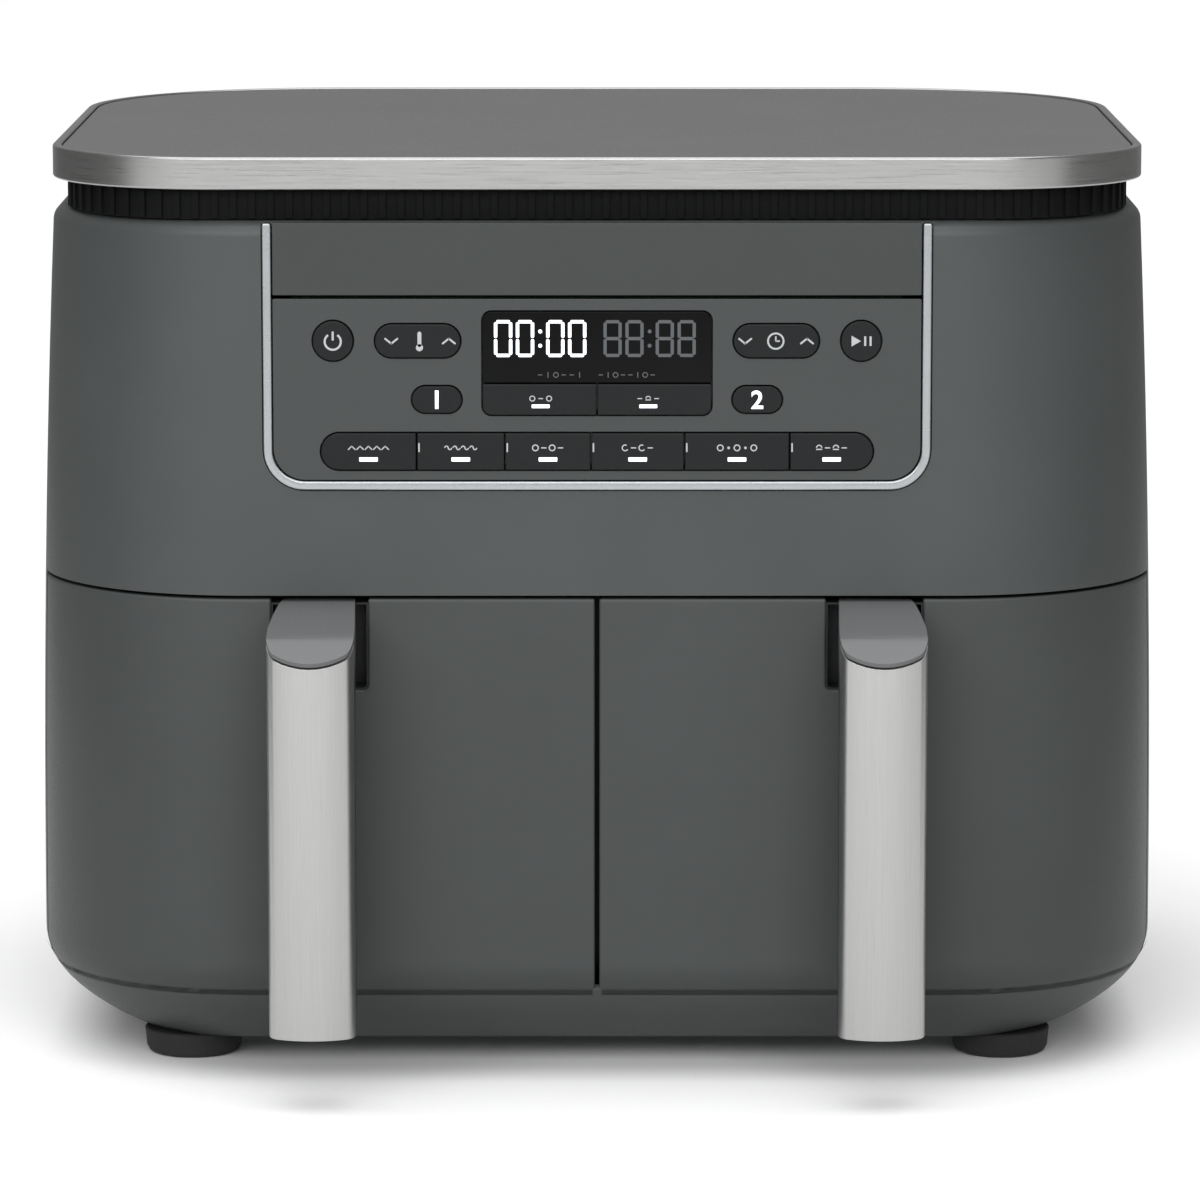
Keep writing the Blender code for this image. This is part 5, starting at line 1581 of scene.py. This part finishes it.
class AIRFRYER_OT_heaters(bpy.types.Operator):
    """Build both heating coils"""

    bl_idname = "airfryer.heaters"
    bl_label = "Heaters"

    def execute(self, context):
        for side, sign in SIDES:
            build_heater(side, sign, context.scene.airfryer_cavity)
        return {"FINISHED"}


class AIRFRYER_OT_stage(bpy.types.Operator):
    """Set up the floor, the lights and the camera"""

    bl_idname = "airfryer.stage"
    bl_label = "Stage"

    def execute(self, context):
        build_stage(context.scene.airfryer_stage)
        return {"FINISHED"}


OPERATORS = (
    AIRFRYER_OT_stage,
    AIRFRYER_OT_finishes,
    AIRFRYER_OT_housing,
    AIRFRYER_OT_base,
    AIRFRYER_OT_rear,
    AIRFRYER_OT_lid,
    AIRFRYER_OT_panel,
    AIRFRYER_OT_marks,
    AIRFRYER_OT_drawers,
    AIRFRYER_OT_handles,
    AIRFRYER_OT_baskets,
    AIRFRYER_OT_heaters,
)
GROUPS = {
    "airfryer_stage": StageLook,
    "airfryer_finish": FinishColours,
    "airfryer_body": BodySizes,
    "airfryer_lid": LidSizes,
    "airfryer_panel": PanelSizes,
    "airfryer_handle": HandleSizes,
    "airfryer_cavity": CavitySizes,
}


class AIRFRYER_PT_pieces(bpy.types.Panel):
    """The sidebar's list of pieces and sizes"""

    bl_idname = "AIRFRYER_PT_pieces"
    bl_label = "Air Fryer"
    bl_space_type = "VIEW_3D"
    bl_region_type = "UI"
    bl_category = "Air Fryer"

    def draw(self, context):
        layout = self.layout
        for name, group in GROUPS.items():
            column = layout.column(align=True)
            for key in group.__annotations__:
                column.prop(getattr(context.scene, name), key)
        for operator in OPERATORS:
            layout.operator(operator.bl_idname)


def register():
    for group in (*GROUPS.values(), *OPERATORS, AIRFRYER_PT_pieces):
        bpy.utils.register_class(group)
    for name, group in GROUPS.items():
        setattr(bpy.types.Scene, name, PointerProperty(type=group))


def unregister():
    for name in GROUPS:
        delattr(bpy.types.Scene, name)
    for group in (AIRFRYER_PT_pieces, *reversed(OPERATORS), *GROUPS.values()):
        bpy.utils.unregister_class(group)


def main():
    register()
    for operator in OPERATORS:
        family, action = operator.bl_idname.split(".")
        getattr(getattr(bpy.ops, family), action)()


if __name__ == "__main__":
    main()
